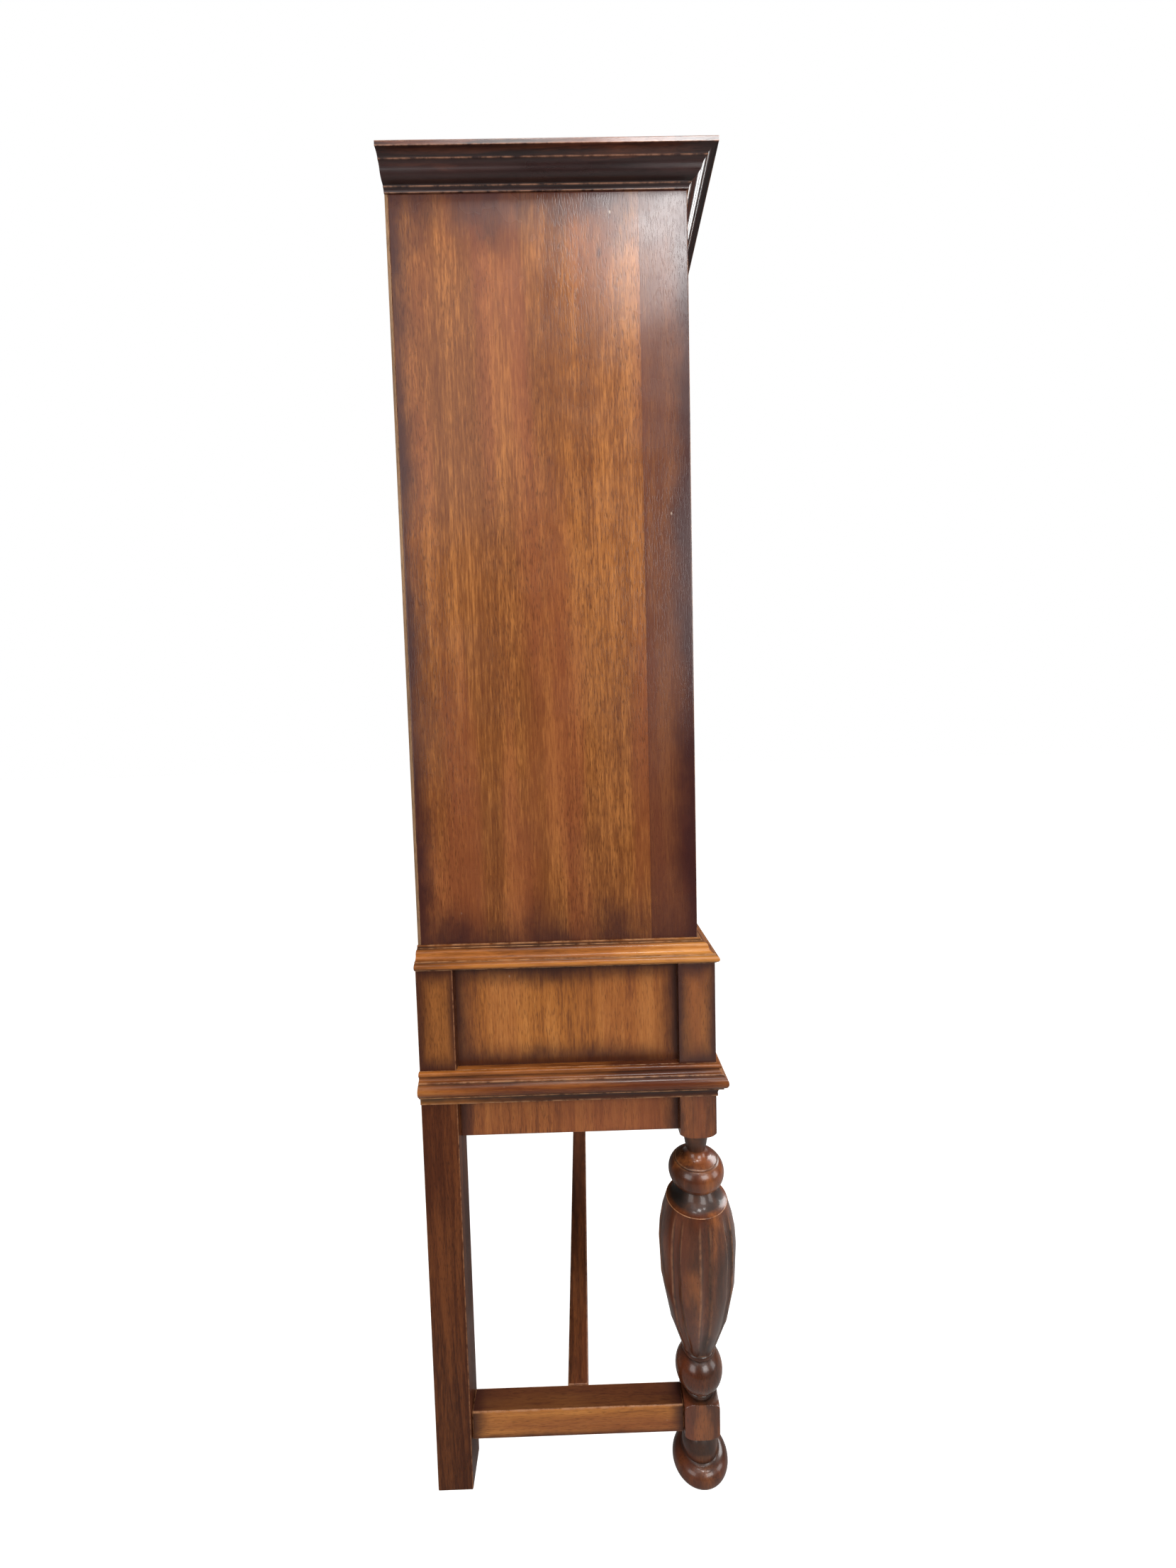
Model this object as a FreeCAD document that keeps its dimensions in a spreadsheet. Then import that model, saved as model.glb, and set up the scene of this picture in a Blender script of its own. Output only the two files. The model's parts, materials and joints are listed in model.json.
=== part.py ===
import FreeCAD
import Part
import os
import Sketcher

# A tall chest of drawers on a turned stand, as a parametric FreeCAD document.
# Frame: X across the width, -Y is the front, Z up; the origin is the middle of the footprint on the floor.
# Every driving size is a cell of the sheet "sizes"; lengths are in millimetres.

SIZES = {
    # overall stack, floor to top
    "leg_clear_height": 588, "base_moulding_height": 48, "stage_height": 143, "waist_moulding_height": 30,
    "case_side_height": 993, "cornice_height": 34,
    # plan
    "stand_width": 1000, "stand_depth": 414, "leg_side": 51, "case_inset": 20,
    "base_moulding_reach": 15, "waist_moulding_overhang": 6, "cornice_reach": 34,
    # stand joinery
    "apron_recess": 15, "apron_drop": 58, "apron_thickness": 22, "apron_top_lap": 24,
    "stage_panel_recess": 11, "stage_panel_thickness": 12, "stage_rail_height": 18, "rail_thickness": 22,
    "stretcher_floor_gap": 68, "stretcher_height": 43, "stretcher_thickness": 33, "centre_stretcher_width": 31,
    "tenon_length": 18, "tenon_thickness": 12, "tenon_shoulder": 6,
    # turned front leg, radii and heights
    "foot_height": 64, "foot_radius": 41, "foot_widest_height": 11, "foot_sole_radius": 30,
    "foot_lip_radius": 28.5, "foot_lip_height": 27, "foot_neck_radius": 17, "foot_neck_height": 57,
    "low_block_height": 56, "pommel_round": 9,
    "low_ring_radius": 20, "low_ring_height": 8, "low_ball_radius": 34.6, "low_ball_height": 54,
    "low_ball_neck_radius": 20, "mid_ring_radius": 24, "mid_ring_height": 9, "bulb_neck_radius": 24.6,
    "bulb_radius": 55.8, "bulb_lower_height": 166, "bulb_shoulder_height": 64, "bulb_shoulder_radius": 44,
    "collar_radius": 40.5, "collar_height": 19, "top_ball_neck_radius": 23, "top_ball_radius": 40,
    "top_ball_height": 44, "cap_radius": 24, "cap_height": 10, "top_neck_radius": 13.5, "top_cup_radius": 18,
    "flute_count": 8, "flute_radius": 7, "flute_depth": 4, "flute_turn": 2,
    # case
    "board_thickness": 18, "back_thickness": 4, "top_board_thickness": 10, "top_rail_drop": 10,
    "case_floor_lift": 14, "rail_height": 18, "runner_width": 22,
    "row_2_height": 163, "row_3_height": 180, "row_4_height": 198, "row_5_height": 217,
    # drawers
    "drawer_gap": 1.5, "front_thickness": 20, "box_board": 10, "bottom_thickness": 6, "bottom_lift": 8,
    "groove_depth": 5, "box_drop": 14, "box_back_gap": 50, "stage_box_back_gap": 51, "stop_height": 5, "stop_width": 40, "stop_gap": 0.5,
    "knob_radius": 19, "knob_reach": 28, "knob_foot_radius": 13, "knob_stem_radius": 9,
    "knob_tenon_radius": 6, "knob_offset": 270,
}

doc = FreeCAD.newDocument("TallChest")
sheet = doc.addObject("Spreadsheet::Sheet", "sizes")
for row, (alias, value) in enumerate(SIZES.items(), start=1):
    sheet.set("A%d" % row, alias)
    sheet.set("B%d" % row, str(value))
    sheet.setAlias("B%d" % row, alias)
doc.recompute()


def s(alias):
    """The expression that reads one driving size."""
    return "sizes." + alias


def add(*terms):
    """A sum of expressions, in brackets."""
    return "(" + " + ".join(str(t) for t in terms) + ")"


def less(first, *rest):
    """The first expression less the others, in brackets."""
    return "(" + " - ".join([str(first)] + [str(t) for t in rest]) + ")"


def times(value, factor):
    """An expression times a number."""
    return "(%s * %s)" % (value, factor)


def value_of(expression):
    """The number that an expression gives now."""
    return float(sheet.evalExpression(str(expression)))


# Levels, from the floor up.
zBaseMoulding = s("leg_clear_height")
zStage = add(zBaseMoulding, s("base_moulding_height"))
zStandTop = add(zStage, s("stage_height"))
zCornice = add(zStandTop, s("waist_moulding_height"), s("case_side_height"))
zTop = add(zCornice, s("cornice_height"))
zCaseTop = less(zTop, s("top_board_thickness"))
zFrontRail = less(zCornice, s("top_rail_drop"))
zApron = less(zBaseMoulding, s("apron_drop"))
zApronTop = add(zBaseMoulding, s("apron_top_lap"))
zStageRail = less(zStandTop, s("stage_rail_height"))
zCaseFloor = add(zStandTop, s("case_floor_lift"), s("board_thickness"))

# Plan: the bulbs of the front legs reach furthest forward, so they set the middle of the depth.
bulbProud = less(s("bulb_radius"), times(s("leg_side"), 0.5))
yBack = times(add(s("stand_depth"), bulbProud), 0.5)
yFront = less(yBack, s("stand_depth"))
yCaseFront = add(yFront, s("case_inset"))
xLeg = times(s("stand_width"), 0.5)
xLegInner = less(xLeg, s("leg_side"))
xLegAxis = less(xLeg, times(s("leg_side"), 0.5))
yFrontAxis = add(yFront, times(s("leg_side"), 0.5))
yBackAxis = less(yBack, times(s("leg_side"), 0.5))
xCase = less(xLeg, s("case_inset"))
xCaseInner = less(xCase, s("board_thickness"))
yCaseBack = less(yBack, s("back_thickness"))
kept = []


def bind(item, **expressions):
    """Binds properties to expressions; names with two underscores mean a dot."""
    for name, expression in expressions.items():
        item.setExpression(name.replace("__", "."), str(expression))


def place(item, x, y, z):
    bind(item, Placement__Base__x=x, Placement__Base__y=y, Placement__Base__z=z)


def box(name, x0, x1, y0, y1, z0, z1):
    """A board between two corners, each given by expressions."""
    item = doc.addObject("Part::Box", name)
    bind(item, Length=less(x1, x0), Width=less(y1, y0), Height=less(z1, z0))
    place(item, x0, y0, z0)
    return item


def cut(name, base, *tools):
    """The base with the tools taken away."""
    for number, tool in enumerate(tools, start=1):
        last = number == len(tools)
        item = doc.addObject("Part::Cut", name if last else "%s_less_%d" % (name, number))
        item.Base = base
        item.Tool = tool
        base = item
    return base


def fuse(name, *parts):
    """Several touching or overlapping shapes as one solid."""
    item = doc.addObject("Part::MultiFuse", name)
    item.Shapes = list(parts)
    item.Refine = True
    return item


def group(name, parts):
    """Separate solids that share one node."""
    item = doc.addObject("Part::Compound", name)
    item.Links = list(parts)
    return item


def keep(name, item):
    item.Label = name
    kept.append(item)
    return item


def mirrored(name, item):
    """The same piece on the other side of the chest."""
    other = doc.addObject("Part::Mirroring", name)
    other.Source = item
    other.Normal = FreeCAD.Vector(1, 0, 0)
    return other


def closed_sketch(body, name, plane, outline, lift=None):
    """A closed outline on one of the body's own planes. Each entry is (x, y) for a straight side from the
    entry before, or (x, y, via_x, via_y) for an arc through that point. All values are expressions, none
    negative, and every corner is held by its two distances from the origin."""
    sketch = body.newObject("Sketcher::SketchObject", name)
    origin = [f for f in body.Origin.OriginFeatures if f.Role == plane][0]
    sketch.AttachmentSupport = [(origin, "")]
    sketch.MapMode = "FlatFace"
    if lift is not None:
        sketch.setExpression("AttachmentOffset.Base.z", str(lift))
    corners = [FreeCAD.Vector(value_of(entry[0]), value_of(entry[1]), 0) for entry in outline]
    bound = []

    def hold(geometry, position, x, y):
        for kind, expression, axis in (("DistanceX", x, -2), ("DistanceY", y, -1)):
            distance = value_of(expression)
            if abs(distance) < 1e-9:
                sketch.addConstraint(Sketcher.Constraint("PointOnObject", geometry, position, axis))
            else:
                index = sketch.addConstraint(
                    Sketcher.Constraint(kind, -1, 1, geometry, position, distance))
                bound.append((index, expression))

    edges = []
    for number, entry in enumerate(outline):
        start, end = corners[number - 1], corners[number]
        if len(entry) == 2:
            edges.append((sketch.addGeometry(Part.LineSegment(start, end), False), False))
            continue
        via = FreeCAD.Vector(value_of(entry[2]), value_of(entry[3]), 0)
        arc = Part.Arc(start, via, end)
        turned = (via - start).cross(end - via).z < 0
        edges.append((sketch.addGeometry(arc, False), turned))
        point = sketch.addGeometry(Part.Point(via), True)
        hold(point, 1, entry[2], entry[3])
        sketch.addConstraint(Sketcher.Constraint("PointOnObject", point, 1, edges[-1][0]))
    for number, (edge, turned) in enumerate(edges):
        after, after_turned = edges[(number + 1) % len(edges)]
        first, second = 1 if turned else 2, 2 if after_turned else 1
        sketch.addConstraint(Sketcher.Constraint("Coincident", edge, first, after, second))
        hold(edge, first, outline[number][0], outline[number][1])
    for index, expression in bound:
        sketch.setExpression("Constraints[%d]" % index, str(expression))
    return sketch


def new_body(name):
    return doc.addObject("PartDesign::Body", name)


def pad(body, sketch, length, midplane=False):
    item = body.newObject("PartDesign::Pad", sketch.Name + "_pad")
    item.Profile = sketch
    item.Midplane = midplane
    item.setExpression("Length", str(length))
    return item


def axis_of(body, role):
    return [f for f in body.Origin.OriginFeatures if f.Role == role][0]


def turned(body, sketch):
    """The outline spun about the body's upright axis."""
    item = body.newObject("PartDesign::Revolution", sketch.Name + "_turned")
    item.Profile = sketch
    item.ReferenceAxis = (axis_of(body, "Z_Axis"), [""])
    item.Angle = 360
    return item


# ---------------------------------------------------------------- turned front legs
zLowBlock = s("foot_height")
zLowBlockTop = add(zLowBlock, s("low_block_height"))
zLowRing = add(zLowBlockTop, s("low_ring_height"))
zLowBallTop = add(zLowRing, s("low_ball_height"))
zMidRing = add(zLowBallTop, s("mid_ring_height"))
zBulb = add(zMidRing, s("bulb_lower_height"))
zShoulder = add(zBulb, s("bulb_shoulder_height"))
zCollarTop = add(zShoulder, s("collar_height"))
zTopBallTop = add(zCollarTop, s("top_ball_height"))
zCapTop = add(zTopBallTop, s("cap_height"))
zTopBlock = less(zApron, "5")


def foot_outline():
    """Bun foot with a lip and a domed cap, up to the underside of the lower block."""
    sole, widest = s("foot_sole_radius"), s("foot_radius")
    lipHeight, neckHeight = s("foot_lip_height"), s("foot_neck_height")
    return [
        ("0", "0"), (sole, "0"),
        (widest, s("foot_widest_height"), add(times(sole, 0.25), times(widest, 0.75)),
         times(s("foot_widest_height"), 0.3)),
        (s("foot_lip_radius"), lipHeight, less(widest, "3.5"),
         add(times(s("foot_widest_height"), 0.35), times(lipHeight, 0.65))),
        (less(s("foot_lip_radius"), "2"), add(lipHeight, "1.5")),
        (s("foot_neck_radius"), neckHeight, less(s("foot_lip_radius"), "4"),
         add(times(lipHeight, 0.4), times(neckHeight, 0.6))),
        (s("foot_neck_radius"), zLowBlock),
    ]


def shaft_outline():
    """Ball, ring, bulb, collar, ball and neck between the lower and the upper block."""
    ring, ball = s("low_ring_radius"), s("low_ball_radius")
    neck, bulb = s("bulb_neck_radius"), s("bulb_radius")
    shoulder, cap = s("bulb_shoulder_radius"), s("cap_radius")
    topBall, topNeck = s("top_ball_radius"), s("top_neck_radius")
    return [
        (ring, zLowBlockTop),
        (less(ring, "2"), zLowRing, add(ring, "1.5"), add(times(zLowBlockTop, 0.5), times(zLowRing, 0.5))),
        (s("low_ball_neck_radius"), zLowBallTop, ball, add(times(zLowRing, 0.48), times(zLowBallTop, 0.52))),
        (less(neck, "3"), zMidRing, s("mid_ring_radius"), add(times(zLowBallTop, 0.5), times(zMidRing, 0.5))),
        (neck, add(zMidRing, "1.5")),
        (bulb, zBulb, add(times(neck, 0.315), times(bulb, 0.685)), add(times(zMidRing, 0.59), times(zBulb, 0.41))),
        (shoulder, zShoulder, add(times(shoulder, 0.25), times(bulb, 0.75)),
         add(times(zBulb, 0.5), times(zShoulder, 0.5))),
        (s("collar_radius"), add(zShoulder, "1")),
        (s("top_ball_neck_radius"), zCollarTop, add(s("top_ball_neck_radius"), "5"),
         add(times(zShoulder, 0.45), times(zCollarTop, 0.55))),
        (add(s("top_ball_neck_radius"), "1"), add(zCollarTop, "1.5")),
        (add(cap, "2"), less(zTopBallTop, "1"), topBall, add(times(zCollarTop, 0.48), times(zTopBallTop, 0.52))),
        (cap, zTopBallTop),
        (topNeck, zCapTop, add(topNeck, "3.5"), add(times(zTopBallTop, 0.6), times(zCapTop, 0.4))),
        (s("top_cup_radius"), less(zTopBlock, "5"), add(topNeck, "3"),
         add(times(zCapTop, 0.45), times(less(zTopBlock, "5"), 0.55))),
        (s("top_cup_radius"), zTopBlock),
    ]


def pommel(body, name, zEnd, zInner):
    """Rounds the corners of a square block towards the turned part, as a lathe does. zEnd is the block's
    end and zInner the level where the corners are full."""
    corner = times(s("leg_side"), 0.72)
    face = times(s("leg_side"), 0.48)
    outside = times(s("leg_side"), 0.8)
    outline = [
        (face, zEnd), (outside, zEnd), (outside, zInner),
        (corner, zInner),
    ]
    outline[0] = (face, zEnd, add(times(face, 0.35), times(corner, 0.65)),
                  add(times(zEnd, 0.68), times(zInner, 0.32)))
    item = body.newObject("PartDesign::Groove", name)
    item.Profile = closed_sketch(body, name + "_outline", "XZ_Plane", outline)
    item.ReferenceAxis = (axis_of(body, "Z_Axis"), [""])
    item.Angle = 360
    return item


def square_outline(side):
    """A square in the first quadrant; the block is shifted to the leg's axis by its sketch offset."""
    return [("0", "0"), (side, "0"), (side, side), ("0", side)]


def block(body, name, zFrom, zTo):
    sketch = closed_sketch(body, name, "XY_Plane", square_outline(s("leg_side")), lift=zFrom)
    sketch.setExpression("AttachmentOffset.Base.x", times(s("leg_side"), -0.5))
    sketch.setExpression("AttachmentOffset.Base.y", times(s("leg_side"), -0.5))
    return pad(body, sketch, less(zTo, zFrom))


def flute_tool(name, number):
    """One of the hollow cuts down the bulb: a ring of round section that follows the bulb's lower arc. Its
    centre lies where that arc's centre does."""
    drop, narrow = s("bulb_lower_height"), less(s("bulb_radius"), s("bulb_neck_radius"))
    arcRadius = "((%s * %s + %s * %s) / (2 * %s))" % (drop, drop, narrow, narrow, narrow)
    ring = doc.addObject("Part::Torus", "%s_flute_%d" % (name, number))
    bind(ring, Radius1=add(arcRadius, less(s("flute_radius"), s("flute_depth"))), Radius2=s("flute_radius"))
    reach = less(s("bulb_radius"), arcRadius)
    turn = 360.0 / value_of(s("flute_count")) * number + value_of(s("flute_turn"))
    upright = FreeCAD.Rotation(FreeCAD.Vector(1, 0, 0), 90)
    start = FreeCAD.Rotation(FreeCAD.Vector(0, 0, 1), -19.6)
    ring.Angle3 = 29
    around = FreeCAD.Rotation(FreeCAD.Vector(0, 0, 1), turn)
    ring.Placement = FreeCAD.Placement(FreeCAD.Vector(), around * upright * start)
    place(ring, "(%s * cos(%s deg))" % (reach, turn), "(%s * sin(%s deg))" % (reach, turn), zBulb)
    return ring


def front_leg(name, side, mortises):
    """Turned front leg with a square block at the stretcher and a square post beside the drawer."""
    body = new_body(name + "_turning")
    turned(body, closed_sketch(body, name + "_foot", "XZ_Plane", foot_outline()))
    block(body, name + "_low_block", zLowBlock, zLowBlockTop)
    pommel(body, name + "_pommel_1", zLowBlock, add(zLowBlock, s("pommel_round")))
    pommel(body, name + "_pommel_2", zLowBlockTop, less(zLowBlockTop, s("pommel_round")))
    shaft = [("0", zLowBlockTop)] + shaft_outline() + [("0", zTopBlock)]
    turned(body, closed_sketch(body, name + "_shaft", "XZ_Plane", shaft))
    block(body, name + "_post", zTopBlock, zStandTop)
    pommel(body, name + "_pommel_3", zTopBlock, add(zTopBlock, s("pommel_round")))
    flutes = fuse(name + "_flutes", *[flute_tool(name, n) for n in range(int(value_of(s("flute_count"))))])
    fluted = cut(name + "_fluted", body, flutes)
    place(fluted, times(xLegAxis, side), yFrontAxis, "0")
    return keep(name, cut(name, fluted, *mortises))


def back_leg(name, side, mortises):
    """Plain square back leg, floor to stand top."""
    x0, x1 = (times(xLeg, -1), times(xLegInner, -1)) if side < 0 else (xLegInner, xLeg)
    post = box(name + "_post", x0, x1, less(yBack, s("leg_side")), yBack, "0", zStandTop)
    return keep(name, cut(name, post, *mortises))


# ---------------------------------------------------------------- rails with tenons
def rail_along_y(name, side, xOut, thickness, zFrom, zTo):
    """A side rail with a tenon at each end. Returns the rail and its two tenons' solids."""
    xMiddle = less(xOut, times(thickness, 0.5))
    y0, y1 = add(yFront, s("leg_side")), less(yBack, s("leg_side"))

    def span(half):
        inner, outer = less(xMiddle, half), add(xMiddle, half)
        return (times(outer, -1), times(inner, -1)) if side < 0 else (inner, outer)

    z0, z1 = add(zFrom, s("tenon_shoulder")), less(zTo, s("tenon_shoulder"))
    tenon, body = span(times(s("tenon_thickness"), 0.5)), span(times(thickness, 0.5))
    front = box(name + "_front_tenon", tenon[0], tenon[1], less(y0, s("tenon_length")), y0, z0, z1)
    back = box(name + "_back_tenon", tenon[0], tenon[1], y1, add(y1, s("tenon_length")), z0, z1)
    bar = box(name + "_bar", body[0], body[1], y0, y1, zFrom, zTo)
    return bar, front, back


def rail_along_x(name, yOut, thickness, zFrom, zTo):
    """A front or back rail with a tenon at each end; yOut is its outer face, and thickness goes inwards."""
    yInner = add(yOut, thickness)
    yMiddle = times(add(yOut, yInner), 0.5)
    y0, y1 = less(yMiddle, times(s("tenon_thickness"), 0.5)), add(yMiddle, times(s("tenon_thickness"), 0.5))
    z0, z1 = add(zFrom, s("tenon_shoulder")), less(zTo, s("tenon_shoulder"))
    xEnd = add(xLegInner, s("tenon_length"))
    left = box(name + "_left_tenon", times(xEnd, -1), times(xLegInner, -1), y0, y1, z0, z1)
    right = box(name + "_right_tenon", xLegInner, xEnd, y0, y1, z0, z1)
    yLow, yHigh = (yOut, yInner) if value_of(thickness) > 0 else (yInner, yOut)
    bar = box(name + "_bar", times(xLegInner, -1), xLegInner, yLow, yHigh, zFrom, zTo)
    return bar, left, right


def build_stand():
    zStretcher, zStretcherTop = s("stretcher_floor_gap"), add(s("stretcher_floor_gap"), s("stretcher_height"))
    mortises = {(side, end): [] for side in (-1, 1) for end in ("front", "back")}
    for side, word in ((-1, "left"), (1, "right")):
        stretcherOut = less(xLegAxis, times(s("stretcher_thickness"), -0.5))
        rails = (
            ("side_stretcher_" + word, stretcherOut, s("stretcher_thickness"), zStretcher, zStretcherTop),
            ("side_apron_" + word, less(xLeg, s("apron_recess")), s("apron_thickness"), zApron, zApronTop),
        )
        for name, xOut, thickness, zFrom, zTo in rails:
            bar, front, back = rail_along_y(name, side, xOut, thickness, zFrom, zTo)
            whole = fuse(name, bar, front, back)
            if name.startswith("side_stretcher"):
                whole.Label = name + "_bar_and_tenons"
                whole = cut(name + "_mortised", whole, centre_tenon(side))
            keep(name, whole)
            mortises[side, "front"].append(front)
            mortises[side, "back"].append(back)
    for name, end, yOut, thickness, zTo in (
            ("front_apron", "front", add(yFront, s("apron_recess")), s("apron_thickness"), zStage),
            ("back_apron", "back", less(yBack, s("apron_recess")), times(s("apron_thickness"), -1), zApronTop)):
        bar, left, right = rail_along_x(name, yOut, thickness, zApron, zTo)
        keep(name, fuse(name, bar, left, right))
        mortises[-1, end].append(left)
        mortises[1, end].append(right)
    bar, left, right = rail_along_x("drawer_top_rail", yFront, s("rail_thickness"), zStageRail, zStandTop)
    keep("drawer_top_rail", bar)
    for tenon in (left, right):
        doc.removeObject(tenon.Name)
    xCentre = less(xLegAxis, times(s("stretcher_thickness"), 0.5))
    yMiddle = times(add(yFront, yBack), 0.5)
    half = times(s("centre_stretcher_width"), 0.5)
    bar = box("centre_bar", times(xCentre, -1), xCentre, less(yMiddle, half), add(yMiddle, half),
              zStretcher, zStretcherTop)
    keep("centre_stretcher", fuse("centre_stretcher", bar, centre_tenon(-1), centre_tenon(1)))
    for side, word in ((-1, "left"), (1, "right")):
        front_leg("front_leg_" + word, side, mortises[side, "front"])
        back_leg("back_leg_" + word, side, mortises[side, "back"])
        outer = less(xLeg, s("stage_panel_recess"))
        inner = less(outer, s("stage_panel_thickness"))
        x0, x1 = (times(outer, -1), times(inner, -1)) if side < 0 else (inner, outer)
        keep("stage_panel_" + word, box("stage_panel_" + word, x0, x1, add(yFront, s("leg_side")),
                                        less(yBack, s("leg_side")), zApronTop, zStandTop))
    yOuter = less(yBack, s("stage_panel_recess"))
    keep("stage_back_panel", box("stage_back_panel", times(xLegInner, -1), xLegInner,
                                 less(yOuter, s("stage_panel_thickness")), yOuter, zApronTop, zStandTop))
    yRunner = add(yFront, s("apron_recess"), s("apron_thickness"))
    yRunnerEnd = less(yBack, s("stage_panel_recess"), s("stage_panel_thickness"))
    xRunner = less(xLeg, s("stage_panel_recess"), s("stage_panel_thickness"))
    runners = []
    for side in (-1, 1):
        x0, x1 = (times(xLegInner, -1), times(less(xLegInner, s("runner_width")), -1))
        if side > 0:
            x0, x1 = less(xLegInner, s("runner_width")), xLegInner
        runners.append(box("stage_runner", x0, x1, yRunner, yRunnerEnd,
                           less(zStage, s("rail_height")), zStage))
        y0, y1 = add(yFront, s("leg_side")), less(yBack, s("leg_side"))
        g0, g1 = (times(xRunner, -1), times(xLegInner, -1)) if side < 0 else (xLegInner, xRunner)
        runners.append(box("stage_guide", g0, g1, y0, y1, less(zStage, s("rail_height")),
                           add(zStage, s("rail_height"))))
    keep("stage_runners", group("stage_runners", runners))


centre_tenons = {}


def centre_tenon(side):
    """The centre stretcher's tenon in one side stretcher, made once and shared."""
    if side not in centre_tenons:
        xFace = less(xLegAxis, times(s("stretcher_thickness"), 0.5))
        xEnd = add(xFace, times(s("stretcher_thickness"), 0.6))
        x0, x1 = (times(xEnd, -1), times(xFace, -1)) if side < 0 else (xFace, xEnd)
        yMiddle = times(add(yFront, yBack), 0.5)
        half = times(s("tenon_thickness"), 0.5)
        z0 = add(s("stretcher_floor_gap"), s("tenon_shoulder"))
        z1 = less(add(s("stretcher_floor_gap"), s("stretcher_height")), s("tenon_shoulder"))
        name = "centre_tenon_%s" % ("left" if side < 0 else "right")
        centre_tenons[side] = box(name, x0, x1, less(yMiddle, half), add(yMiddle, half), z0, z1)
    return centre_tenons[side]


# ---------------------------------------------------------------- mitred mouldings
def cornice_outline():
    """Crown moulding, from its toe on the case up to the top fascia. x is the reach, y the height."""
    reach, height = s("cornice_reach"), s("cornice_height")
    return [
        ("0", "0"), ("2", "0"), ("5", "5", "2.8", "3.2"), ("5", "7"), ("9", "8"),
        (less(reach, "17.5"), less(height, "18.5"), less(reach, "20.5"), less(height, "23.5")),
        (less(reach, "11"), less(height, "12"), less(reach, "14.5"), less(height, "13.8")),
        (less(reach, "11"), less(height, "10")),
        (less(reach, "1"), less(height, "7"), less(reach, "7.5"), less(height, "7.8")),
        (reach, less(height, "7")), (reach, less(height, "1")), (less(reach, "1"), height), ("0", height),
    ]


def waist_outline():
    """Waist moulding that holds the case: fillet, ogee slope and a half round along its lower edge."""
    reach = add(s("case_inset"), s("waist_moulding_overhang"))
    height = s("waist_moulding_height")
    return [
        ("0", "0"), (less(reach, "4"), "0"), (less(reach, "4"), "1"),
        (less(reach, "4"), "10", reach, "5.5"), (less(reach, "5"), "11"), (less(reach, "5"), "12.5"),
        (less(reach, "13"), less(height, "11"), less(reach, "10.2"), less(height, "16.2")),
        (less(reach, "20"), less(height, "5"), less(reach, "15.2"), less(height, "6")),
        (less(reach, "20"), less(height, "3.5")), (less(reach, "22"), less(height, "3.5")),
        (less(reach, "22"), height), ("0", height),
    ]


def base_outline():
    """Base moulding: bead, hollow, large half round and a hollow below."""
    reach, height = s("base_moulding_reach"), s("base_moulding_height")
    return [
        ("0", "0"), (less(reach, "13"), "0"), (less(reach, "13"), "3"),
        (less(reach, "8"), "13", less(reach, "11.7"), "9.8"), (less(reach, "6"), "13"), (less(reach, "6"), "15"),
        (less(reach, "6"), less(height, "15"), reach, add("7.5", times(less(height, "15"), 0.5))),
        (less(reach, "6"), less(height, "13.5")), (less(reach, "7"), less(height, "12.5")),
        (less(reach, "11"), less(height, "7"), less(reach, "10.2"), less(height, "10.6")),
        (less(reach, "10"), less(height, "6.5")),
        (less(reach, "12"), height, less(reach, "8.6"), less(height, "2.2")), ("0", height),
    ]


def mitre_tool(name, side, xCorner, yCorner, front, zFrom):
    """A block whose face is the mitre plane through a corner: it takes the return's half away from the
    front piece, or the front's half away from the return."""
    size = times(s("cornice_reach"), 6)
    item = doc.addObject("Part::Box", name)
    bind(item, Length=size, Width=size, Height=times(s("base_moulding_height"), 3))
    along = times(s("cornice_reach"), 3 * 0.70710678)
    if side < 0:
        angle = 45 if front else -135
        x, y = (less(xCorner, along), less(yCorner, along)) if front else (add(xCorner, along), add(yCorner, along))
    else:
        angle = -45 if front else 135
        x, y = (less(xCorner, along), add(yCorner, along)) if front else (add(xCorner, along), less(yCorner, along))
    item.Placement = FreeCAD.Placement(
        FreeCAD.Vector(), FreeCAD.Rotation(FreeCAD.Vector(0, 0, 1), angle))
    place(item, x, y, less(zFrom, s("base_moulding_height")))
    return item


def strip(name, outline, turn, length, x, y, z):
    """A straight length of moulding. turn points its outer face; the length is centred on x, y."""
    body = new_body(name + "_strip")
    pad(body, closed_sketch(body, name + "_profile", "XZ_Plane", outline), length, midplane=True)
    body.Placement = FreeCAD.Placement(
        FreeCAD.Vector(), FreeCAD.Rotation(FreeCAD.Vector(0, 0, 1), turn))
    place(body, x, y, z)
    return body


def moulding_set(name, outline, reach, xWall, yWall, zFrom, fillers=None):
    """Front piece and two returns, mitred at the front corners and square at the back."""
    fillers = fillers or {}
    length = add(times(xWall, 2), times(reach, 2))
    front = strip(name + "_front", outline, -90, length, "0", yWall, zFrom)
    if "front" in fillers:
        front = fuse(name + "_front_backed", front, fillers["front"])
    tools = [mitre_tool("%s_front_mitre_%d" % (name, side), side, times(xWall, side), yWall, True, zFrom)
             for side in (-1, 1)]
    keep(name + "_front", cut(name + "_front", front, *tools))
    depth = add(less(yBack, yWall), reach)
    for side, word in ((-1, "left"), (1, "right")):
        piece = strip("%s_%s" % (name, word), outline, 180 if side < 0 else 0, depth, times(xWall, side),
                      less(yBack, times(depth, 0.5)), zFrom)
        if word in fillers:
            piece = fuse("%s_%s_backed" % (name, word), piece, fillers[word])
        tool = mitre_tool("%s_%s_mitre" % (name, word), side, times(xWall, side), yWall, False, zFrom)
        keep("%s_%s" % (name, word), cut("%s_%s" % (name, word), piece, tool))


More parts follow.
